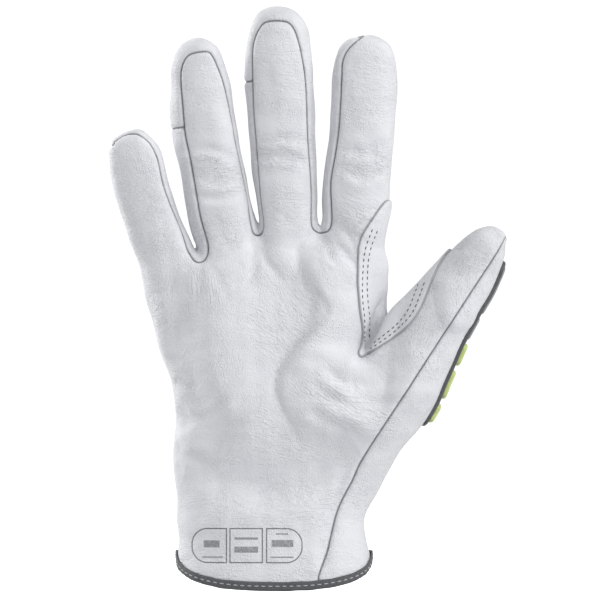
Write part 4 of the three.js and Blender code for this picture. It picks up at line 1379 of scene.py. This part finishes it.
def laid_on(piece: bpy.types.Object, line: np.ndarray, from_back: bool = False, lift: float = 0.05) -> np.ndarray:
    """Lays a line of the front view onto a piece.

    Args:
        piece: The piece, at the origin.
        line: Places across and up, one row each, in millimetres.
        from_back: Whether the line lies on the back.
        lift: How far it lies over the surface.

    Returns:
        The points on the piece, in millimetres, without those that miss it.
    """
    way = -1.0 if from_back else 1.0
    found = []
    for x, z in line:
        hit, place, normal, _ = piece.ray_cast(Vector((x * MM, -way * 0.2, z * MM)), Vector((0, way, 0)))
        if hit:
            found.append(np.array(place) / MM + np.array(normal) * lift)
    return np.array(found)


class NodeDesk:
    """Short calls for building a shader node tree."""

    def __init__(self, tree: bpy.types.NodeTree) -> None:
        """Keeps the tree."""
        self.tree = tree

    def add(self, kind: str, settings: dict | None = None, **inputs) -> bpy.types.Node:
        """Adds a node.

        Args:
            kind: Type name of the node.
            settings: Properties of the node.
            inputs: Values or sockets for its inputs, by name with _ for a space.

        Returns:
            The node.
        """
        node = self.tree.nodes.new(kind)
        for key, value in (settings or {}).items():
            setattr(node, key, value)
        for key, value in inputs.items():
            self.feed(node.inputs[key.replace("_", " ")], value)
        return node

    def feed(self, socket: bpy.types.NodeSocket, value: object) -> None:
        """Links a socket to an input, or sets its value."""
        if isinstance(value, bpy.types.NodeSocket):
            self.tree.links.new(value, socket)
        else:
            socket.default_value = value

    def math(self, operation: str, *values: object) -> bpy.types.NodeSocket:
        """Adds a Math node and gives its result."""
        node = self.tree.nodes.new("ShaderNodeMath")
        node.operation = operation
        for socket, value in zip(node.inputs, values):
            self.feed(socket, value)
        return node.outputs[0]

    def step(self, value: object, low: float, high: float, start: float = 0.0, end: float = 1.0) -> bpy.types.NodeSocket:
        """Adds a smooth step from start at low to end at high."""
        node = self.add("ShaderNodeMapRange", {"interpolation_type": "SMOOTHSTEP"}, Value=value, From_Min=low,
                        From_Max=high, To_Min=start, To_Max=end)
        return node.outputs[0]

    def mix(self, share: object, first: object, second: object, blend: str = "MIX") -> bpy.types.NodeSocket:
        """Mixes two colours."""
        node = self.tree.nodes.new("ShaderNodeMix")
        node.data_type = "RGBA"
        node.blend_type = blend
        self.feed(node.inputs[0], share)
        self.feed(node.inputs[6], first)
        self.feed(node.inputs[7], second)
        return node.outputs[2]


def new_group(name: str, numbers: dict[str, float], results: tuple[str, ...]) -> tuple[bpy.types.NodeTree, NodeDesk]:
    """Starts a shader group with a vector, named numbers in and named values out."""
    group = bpy.data.node_groups.new(name, "ShaderNodeTree")
    group.interface.new_socket("Vector", in_out="INPUT", socket_type="NodeSocketVector")
    for key, value in numbers.items():
        group.interface.new_socket(key, in_out="INPUT", socket_type="NodeSocketFloat").default_value = value
    for key in results:
        group.interface.new_socket(key, in_out="OUTPUT", socket_type="NodeSocketFloat")
    return group, NodeDesk(group)


def grain_group() -> bpy.types.NodeTree:
    """Group for the grain of leather: small raised cells, longer creases, pores and fine wrinkles."""
    numbers = {"Cells per metre": 900.0, "Crease share": 0.3, "Pore share": 0.25, "Wrinkles per metre": 720.0,
               "Wrinkle share": 1.0}
    group, desk = new_group("leather_grain", numbers, ("Height", "Tone"))
    group.interface.new_socket("Flow", in_out="INPUT", socket_type="NodeSocketVector")
    start = desk.add("NodeGroupInput").outputs
    warp = desk.add("ShaderNodeTexNoise", Vector=start["Vector"], Scale=260.0, Detail=2.0)
    shift = desk.add("ShaderNodeVectorMath", {"operation": "SCALE"})
    desk.feed(shift.inputs[0], warp.outputs["Color"])
    desk.feed(shift.inputs["Scale"], 0.0011)
    moved = desk.add("ShaderNodeVectorMath", {"operation": "ADD"})
    desk.feed(moved.inputs[0], start["Vector"])
    desk.feed(moved.inputs[1], shift.outputs[0])
    cells = desk.add("ShaderNodeTexVoronoi", {"feature": "DISTANCE_TO_EDGE"}, Vector=moved.outputs[0],
                     Scale=start["Cells per metre"])
    domes = desk.step(cells.outputs["Distance"], 0.0, 0.45)
    wide = desk.add("ShaderNodeTexVoronoi", {"feature": "DISTANCE_TO_EDGE"}, Vector=moved.outputs[0],
                    Scale=desk.math("MULTIPLY", start["Cells per metre"], 0.34))
    creases = desk.step(wide.outputs["Distance"], 0.0, 0.22)
    pores = desk.add("ShaderNodeTexNoise", Vector=start["Vector"], Scale=2600.0, Detail=2.0)
    patchy = desk.add("ShaderNodeTexNoise", Vector=start["Vector"], Scale=75.0, Detail=2.0)
    strong = desk.step(patchy.outputs[0], 0.38, 0.62, 0.45, 1.0)
    crease = desk.math("MULTIPLY", desk.math("MULTIPLY", creases, start["Crease share"]), strong)
    fine = desk.math("MULTIPLY", pores.outputs[0], start["Pore share"])
    run = desk.add("ShaderNodeTexNoise", Vector=start["Flow"], Scale=start["Wrinkles per metre"], Detail=2.0)
    wave = desk.math("ABSOLUTE", desk.math("MULTIPLY_ADD", run.outputs[0], 4.0, -2.0))
    wrinkle = desk.math("MULTIPLY", desk.step(wave, 0.0, 0.7), start["Wrinkle share"])
    height = desk.math("ADD", desk.math("ADD", desk.math("MULTIPLY", domes, strong), crease), fine)
    end = desk.add("NodeGroupOutput")
    desk.feed(end.inputs["Height"], desk.math("ADD", height, wrinkle))
    desk.feed(end.inputs["Tone"], desk.math("MULTIPLY", domes, creases))
    return group


def mottle_group() -> bpy.types.NodeTree:
    """Group for a soft unevenness of tone, from 0 to 1."""
    group, desk = new_group("mottle", {"Patches per metre": 60.0}, ("Tone",))
    start = desk.add("NodeGroupInput").outputs
    wide = desk.add("ShaderNodeTexNoise", Vector=start["Vector"], Scale=start["Patches per metre"], Detail=4.0)
    end = desk.add("NodeGroupOutput")
    desk.feed(end.inputs["Tone"], desk.step(wide.outputs[0], 0.3, 0.7))
    return group


def weave_group() -> bpy.types.NodeTree:
    """Group for a fine woven tape: threads that cross, seen as small rounded blocks."""
    group, desk = new_group("weave", {"Threads per metre": 1400.0}, ("Height", "Tone"))
    start = desk.add("NodeGroupInput").outputs
    split = desk.add("ShaderNodeSeparateXYZ", Vector=start["Vector"])
    turn = desk.math("MULTIPLY", start["Threads per metre"], math.pi)
    flat = desk.math("ADD", split.outputs["X"], desk.math("MULTIPLY", split.outputs["Y"], 0.83))
    across = desk.math("SINE", desk.math("MULTIPLY", flat, turn))
    upright = desk.math("SINE", desk.math("MULTIPLY", split.outputs["Z"], turn))
    weave = desk.math("MULTIPLY", across, upright)
    fuzz = desk.add("ShaderNodeTexNoise", Vector=start["Vector"], Scale=3000.0, Detail=2.0)
    end = desk.add("NodeGroupOutput")
    desk.feed(end.inputs["Height"], desk.math("ADD", desk.math("ABSOLUTE", weave), fuzz.outputs[0]))
    desk.feed(end.inputs["Tone"], desk.math("MULTIPLY_ADD", weave, 0.5, 0.5))
    return group


class Effects:
    """The shader groups that the finishes share, each built once."""

    def __init__(self) -> None:
        """Builds the groups."""
        self.grain = grain_group()
        self.mottle = mottle_group()
        self.weave = weave_group()


Colour = tuple[float, float, float]


def start_material(name: str) -> tuple[bpy.types.Material, NodeDesk, bpy.types.Node, bpy.types.NodeSocket]:
    """Starts a material: the material, its desk, its main shader and its object coordinates."""
    material = bpy.data.materials.new(name)
    material.use_nodes = True
    desk = NodeDesk(material.node_tree)
    shader = material.node_tree.nodes["Principled BSDF"]
    place = desk.add("ShaderNodeTexCoord").outputs["Object"]
    return material, desk, shader, place


def use_group(desk: NodeDesk, group: bpy.types.NodeTree, place: bpy.types.NodeSocket, **numbers: float) -> bpy.types.Node:
    """Places a shared group with its own values."""
    node = desk.tree.nodes.new("ShaderNodeGroup")
    node.node_tree = group
    desk.feed(node.inputs["Vector"], place)
    for key, value in numbers.items():
        desk.feed(node.inputs[key.replace("_", " ")], value)
    return node


@dataclass(frozen=True)
class LabelFrame:
    """Plain rounded frame in three parts with plain bars, printed on the front at the hem.

    Parts are from and to across, and bars are their middle across and up and half their
    size, all in millimetres.
    """

    middle: tuple[float, float] = (-11.6, 19.3)
    half: tuple[float, float] = (23.3, 7.2)
    corner: float = 6.6
    line: float = 0.36
    parts: tuple[tuple[float, float], ...] = ((-36.0, -20.3), (-18.8, -5.1), (-3.3, 13.0))
    bars: tuple[tuple[float, float, float, float], ...] = (
        (-26.6, 20.0, 3.4, 1.5), (-26.2, 14.4, 4.4, 0.32), (-11.9, 22.3, 5.0, 0.5), (-11.9, 17.6, 5.0, 1.3),
        (3.4, 20.2, 4.6, 1.5), (3.2, 14.4, 5.0, 0.32), (3.2, 24.2, 2.6, 0.32),
    )

    def mask(self, desk: NodeDesk, place: bpy.types.NodeSocket) -> bpy.types.NodeSocket:
        """Mask of the printed lines on the front of the glove."""
        split = desk.add("ShaderNodeSeparateXYZ", Vector=place)
        across = desk.math("MULTIPLY", split.outputs["X"], 1000.0)
        height = desk.math("MULTIPLY", split.outputs["Z"], 1000.0)
        dx, dz = self.offsets(desk, across, height, self.middle, self.half)
        outside_x = desk.math("MAXIMUM", desk.math("ADD", dx, self.corner), 0.0)
        outside_z = desk.math("MAXIMUM", desk.math("ADD", dz, self.corner), 0.0)
        square = desk.math("ADD", desk.math("MULTIPLY", outside_x, outside_x), desk.math("MULTIPLY", outside_z, outside_z))
        rounded = desk.math("SUBTRACT", desk.math("SQRT", square), self.corner)
        marks = None
        for low, high in self.parts:
            middle = ((low + high) / 2, self.middle[1])
            side = self.offsets(desk, across, height, middle, ((high - low) / 2, self.half[1]))[0]
            away = desk.math("ABSOLUTE", desk.math("MAXIMUM", rounded, side))
            line = desk.step(away, self.line * 0.4, self.line, 1.0, 0.0)
            marks = line if marks is None else desk.math("MAXIMUM", marks, line)
        for x, z, half_x, half_z in self.bars:
            sides = self.offsets(desk, across, height, (x, z), (half_x, half_z))
            bar = desk.step(desk.math("MAXIMUM", *sides), -0.15, 0.15, 0.75, 0.0)
            marks = desk.math("MAXIMUM", marks, bar)
        worn = desk.add("ShaderNodeTexNoise", Vector=place, Scale=900.0, Detail=2.0)
        marks = desk.math("MULTIPLY", marks, desk.step(worn.outputs[0], 0.3, 0.55, 0.75, 0.95))
        front = desk.step(split.outputs["Y"], -0.004, -0.002, 1.0, 0.0)
        return desk.math("MULTIPLY", marks, front)

    def offsets(self, desk: NodeDesk, across: bpy.types.NodeSocket, height: bpy.types.NodeSocket,
                middle: tuple[float, float], half: tuple[float, float]) -> list[bpy.types.NodeSocket]:
        """Distance outside a box, across and up, negative inside it."""
        found = []
        for value, centre, reach in zip((across, height), middle, half):
            away = desk.math("ABSOLUTE", desk.math("SUBTRACT", value, centre))
            found.append(desk.math("SUBTRACT", away, reach))
        return found


@dataclass(frozen=True)
class LeatherFinish:
    """Grain leather with painted shade darkening its seam grooves and the edges of laid-on pieces, as smooth or as
    napped as asked.
    """

    name: str
    colour: Colour
    shade: Colour
    # Colour of the painted shade in the seam grooves and along the edges of laid-on pieces
    seam_painted_shade: Colour
    cells: float
    relief: float
    roughness: float
    wrinkle: float = 1.5
    label: LabelFrame | None = None
    label_colour: Colour = (0.12, 0.122, 0.13)

    def make(self, effects: Effects) -> bpy.types.Material:
        """Makes the material."""
        material, desk, shader, place = start_material(self.name)
        grain = use_group(desk, effects.grain, place, Cells_per_metre=self.cells)
        flow = desk.add("ShaderNodeCombineXYZ")
        for socket, name, share in (("X", "flow_along", 0.3), ("Y", "flow_across", 1.0), ("Z", "flow_deep", 0.3)):
            value = desk.add("ShaderNodeAttribute", {"attribute_name": name}).outputs["Fac"]
            desk.feed(flow.inputs[socket], desk.math("MULTIPLY", value, share))
        fine = desk.add("ShaderNodeAttribute", {"attribute_name": "flow_fine"}).outputs["Fac"]
        desk.feed(grain.inputs["Flow"], flow.outputs[0])
        desk.feed(grain.inputs["Wrinkle share"], desk.math("MULTIPLY", fine, self.wrinkle))
        mottle = use_group(desk, effects.mottle, place, Patches_per_metre=55.0)
        tone = desk.mix(mottle.outputs["Tone"], (*self.shade, 1), (*self.colour, 1))
        lines = desk.math("MULTIPLY", desk.math("SUBTRACT", 1.0, grain.outputs["Tone"]), 0.07)
        tone = desk.mix(lines, tone, (0.3, 0.3, 0.32, 1))
        # Painted shade: the colour is drawn towards the seam shade in the seam grooves and along the edges of laid-on
        # pieces, where shadow falls
        seam = desk.add("ShaderNodeAttribute", {"attribute_name": "seam"}).outputs["Fac"]
        dark = desk.step(seam, 0.05, 0.75, 0.85, 0.0)
        tone = desk.mix(dark, tone, (*self.seam_painted_shade, 1))
        if self.label:
            tone = desk.mix(self.label.mask(desk, place), tone, (*self.label_colour, 1))
        desk.feed(shader.inputs["Base Color"], tone)
        desk.feed(shader.inputs["Roughness"], desk.step(grain.outputs["Tone"], 0.0, 1.0, self.roughness + 0.1, self.roughness))
        shader.inputs["Specular IOR Level"].default_value = 0.35
        shader.inputs["Sheen Weight"].default_value = 0.08
        shader.inputs["Sheen Roughness"].default_value = 0.5
        bump = desk.add("ShaderNodeBump", Strength=1.0, Distance=self.relief * MM, Height=grain.outputs["Height"])
        desk.feed(shader.inputs["Normal"], bump.outputs[0])
        return material


@dataclass(frozen=True)
class RubberFinish:
    """Moulded rubber, satin, with a faint speckle."""

    name: str
    colour: Colour
    edge_shade: float = 0.25
    roughness: float = 0.45

    def make(self, effects: Effects) -> bpy.types.Material:
        """Makes the material."""
        material, desk, shader, place = start_material(self.name)
        mottle = use_group(desk, effects.mottle, place, Patches_per_metre=220.0)
        worn = tuple(min(1.0, part * 1.12 + 0.01) for part in self.colour)
        # Darker towards each piece's edge, by edge_shade
        edge = desk.add("ShaderNodeAttribute", {"attribute_name": "seam"}).outputs["Fac"]
        tone = desk.mix(desk.math("MULTIPLY", mottle.outputs["Tone"], 0.6), (*self.colour, 1), (*worn, 1))
        tone = desk.mix(desk.step(edge, 0.1, 1.2, self.edge_shade, 0.0), tone, (*(part * 0.35 for part in self.colour), 1))
        desk.feed(shader.inputs["Base Color"], tone)
        desk.feed(shader.inputs["Roughness"], desk.step(mottle.outputs["Tone"], 0.0, 1.0, self.roughness, self.roughness + 0.12))
        speckle = desk.add("ShaderNodeTexNoise", Vector=place, Scale=2400.0, Detail=2.0)
        bump = desk.add("ShaderNodeBump", Strength=0.6, Distance=0.04 * MM, Height=speckle.outputs[0])
        desk.feed(shader.inputs["Normal"], bump.outputs[0])
        return material


@dataclass(frozen=True)
class WovenFinish:
    """Fine woven tape or twisted thread."""

    name: str
    colour: Colour
    light: Colour
    threads: float = 1400.0
    relief: float = 0.12

    def make(self, effects: Effects) -> bpy.types.Material:
        """Makes the material."""
        material, desk, shader, place = start_material(self.name)
        weave = use_group(desk, effects.weave, place, Threads_per_metre=self.threads)
        mottle = use_group(desk, effects.mottle, place, Patches_per_metre=160.0)
        tone = desk.mix(weave.outputs["Tone"], (*self.colour, 1), (*self.light, 1))
        tone = desk.mix(desk.math("MULTIPLY", mottle.outputs["Tone"], 0.3), tone, (*self.colour, 1))
        desk.feed(shader.inputs["Base Color"], tone)
        desk.feed(shader.inputs["Roughness"], desk.step(weave.outputs["Tone"], 0.0, 1.0, 0.9, 0.75))
        shader.inputs["Sheen Weight"].default_value = 0.15
        bump = desk.add("ShaderNodeBump", Strength=1.0, Distance=self.relief * MM, Height=weave.outputs["Height"])
        desk.feed(shader.inputs["Normal"], bump.outputs[0])
        return material


def dress(piece: bpy.types.Object, *materials: bpy.types.Material) -> None:
    """Gives a piece its materials in order."""
    piece.data.materials.clear()
    for material in materials:
        piece.data.materials.append(material)


def set_camera() -> None:
    """Places the camera where the photograph was taken from."""
    lens = bpy.data.cameras.new("camera")
    lens.sensor_width = 36.0
    away = 5.0
    lens.lens = 36.0 * away / 0.255
    lens.clip_end = 50.0
    camera = bpy.data.objects.new("camera", lens)
    camera.location = (0.01084, -away, 0.12325)
    camera.rotation_euler = (math.pi / 2, 0, 0)
    bpy.context.scene.collection.objects.link(camera)
    bpy.context.scene.camera = camera


@dataclass(frozen=True)
class Lamp:
    """One soft studio light: its place and size in metres and its power in watts."""

    name: str
    place: tuple[float, float, float]
    size: float
    power: float

    def add(self) -> None:
        """Adds the light, aimed at the middle of the glove."""
        light = bpy.data.lights.new(self.name, "AREA")
        light.shape = "DISK"
        light.size = self.size
        light.energy = self.power
        holder = bpy.data.objects.new(self.name, light)
        holder.location = self.place
        aim = Vector((0.01, 0, 0.12)) - Vector(self.place)
        holder.rotation_euler = aim.to_track_quat("-Z", "Y").to_euler()
        bpy.context.scene.collection.objects.link(holder)


LAMPS = (
    Lamp("key_right", (1.75, -0.5, 1.05), 0.6, 11.0),
    Lamp("soft_right", (1.3, -1.5, 0.9), 0.8, 15.0),
    Lamp("rim_left", (-1.5, 0.8, 0.8), 0.8, 26.0),
    Lamp("soft_top", (-0.2, -0.7, 2.2), 1.0, 9.0),
)
WORLD_LIGHT = 0.42
SEEN_WHITE = 1.07


def set_studio() -> None:
    """Sets the soft light, the pale floor and the white surroundings."""
    scene = bpy.context.scene
    scene.view_settings.view_transform = "Standard"
    world = bpy.data.worlds.new("studio")
    scene.world = world
    world.use_nodes = True
    desk = NodeDesk(world.node_tree)
    background = world.node_tree.nodes["Background"]
    desk.feed(background.inputs["Color"], (1, 1, 1, 1))
    seen = desk.add("ShaderNodeLightPath").outputs["Is Camera Ray"]
    desk.feed(background.inputs["Strength"], desk.math("MULTIPLY_ADD", seen, SEEN_WHITE - WORLD_LIGHT, WORLD_LIGHT))
    for lamp in LAMPS:
        lamp.add()
    mesh = bpy.data.meshes.new("floor")
    reach = 6.0
    level = -0.003
    mesh.from_pydata([(-reach, -reach, level), (reach, -reach, level), (reach, reach, level), (-reach, reach, level)],
                     [], [(0, 1, 2, 3)])
    floor = bpy.data.objects.new("floor", mesh)
    scene.collection.objects.link(floor)
    material, desk, shader, _ = start_material("pale_floor")
    shader.inputs["Base Color"].default_value = (0.7, 0.7, 0.71, 1)
    shader.inputs["Roughness"].default_value = 0.8
    shader.inputs["Emission Color"].default_value = (1, 1, 1, 1)
    seen = desk.add("ShaderNodeLightPath").outputs["Is Camera Ray"]
    desk.feed(shader.inputs["Emission Strength"], seen)
    mesh.materials.append(material)


# The third colour of each leather is the painted shade in its seam grooves and along the edges of laid-on pieces
WHITE = LeatherFinish("grain_leather", (0.79, 0.797, 0.825), (0.75, 0.758, 0.79), (0.22, 0.225, 0.24), 1000.0, 0.2, 0.6,
                      label=LabelFrame())
PATCH = LeatherFinish("patch_leather", (0.79, 0.797, 0.825), (0.75, 0.758, 0.79), (0.3, 0.305, 0.32), 1000.0, 0.1, 0.6)
SUEDE = LeatherFinish("suede_inside", (0.6, 0.61, 0.63), (0.52, 0.53, 0.55), (0.4, 0.41, 0.43), 1600.0, 0.2, 0.85)
GREY = RubberFinish("grey_rubber", (0.2, 0.206, 0.216), 0.85)
PALE = RubberFinish("pale_rubber", (0.36, 0.37, 0.385))
LIME = RubberFinish("lime_rubber", (0.58, 0.7, 0.25))
TAPE = WovenFinish("binding_tape", (0.085, 0.086, 0.094), (0.13, 0.132, 0.142))
PALE_THREAD = WovenFinish("pale_thread", (0.4, 0.405, 0.42), (0.55, 0.56, 0.58), 2600.0, 0.05)
GREY_THREAD = WovenFinish("grey_thread", (0.22, 0.225, 0.24), (0.34, 0.345, 0.36), 2600.0, 0.05)
DARK_THREAD = WovenFinish("dark_thread", (0.06, 0.062, 0.07), (0.1, 0.102, 0.11), 2600.0, 0.05)


def main() -> None:
    """Builds the glove and its studio."""
    logging.basicConfig(level=logging.INFO, format="%(name)s: %(message)s")
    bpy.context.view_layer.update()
    effects = Effects()
    white, patch_finish, suede = (finish.make(effects) for finish in (WHITE, PATCH, SUEDE))
    rubbers = {Slot.GREY: GREY.make(effects), Slot.PALE: PALE.make(effects), Slot.LIME: LIME.make(effects)}
    form = HandForm()
    LOG.info("form: %d points", len(form.surface.points))
    panels = Leather(form).build()
    for panel in panels:
        dress(panel, white, suede)
    patch = ThumbPatch()
    patch_piece = patch.build(form)
    dress(patch_piece, patch_finish, suede)
    guards = ThumbGuard().build(form) + HandGuard().build(form)
    for guard in guards:
        kind = Slot(guard["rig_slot"]) if "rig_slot" in guard else Slot.GREY
        dress(guard, rubbers[kind], rubbers[kind])
    binding = HemBinding()
    dress(binding.build(form), TAPE.make(effects))
    maker = StitchMaker()
    maker.sew("hem_stitches", [binding.stitch_path(form)], PALE_THREAD.make(effects), Slot.BINDING, 3.0, 2.0, 0.5, closed=True)
    rows = [laid_on(patch_piece, smooth_line(list(row), 6)) for row in patch.rows]
    maker.sew("patch_stitches", rows, DARK_THREAD.make(effects), Slot.LEATHER, 2.5, 1.5, 0.45)
    back = next(panel for panel in panels if panel.name.startswith("back"))
    elastic = [laid_on(back, np.column_stack([np.linspace(-37.0, 35.0, 120), np.full(120, height)]), True)
               for height in (27.5, 31.0)]
    maker.sew("wrist_elastic_stitches", elastic, DARK_THREAD.make(effects), Slot.LEATHER, 3.2, 2.3, 0.55)
    set_camera()
    set_studio()


if __name__ == "__main__":
    main()
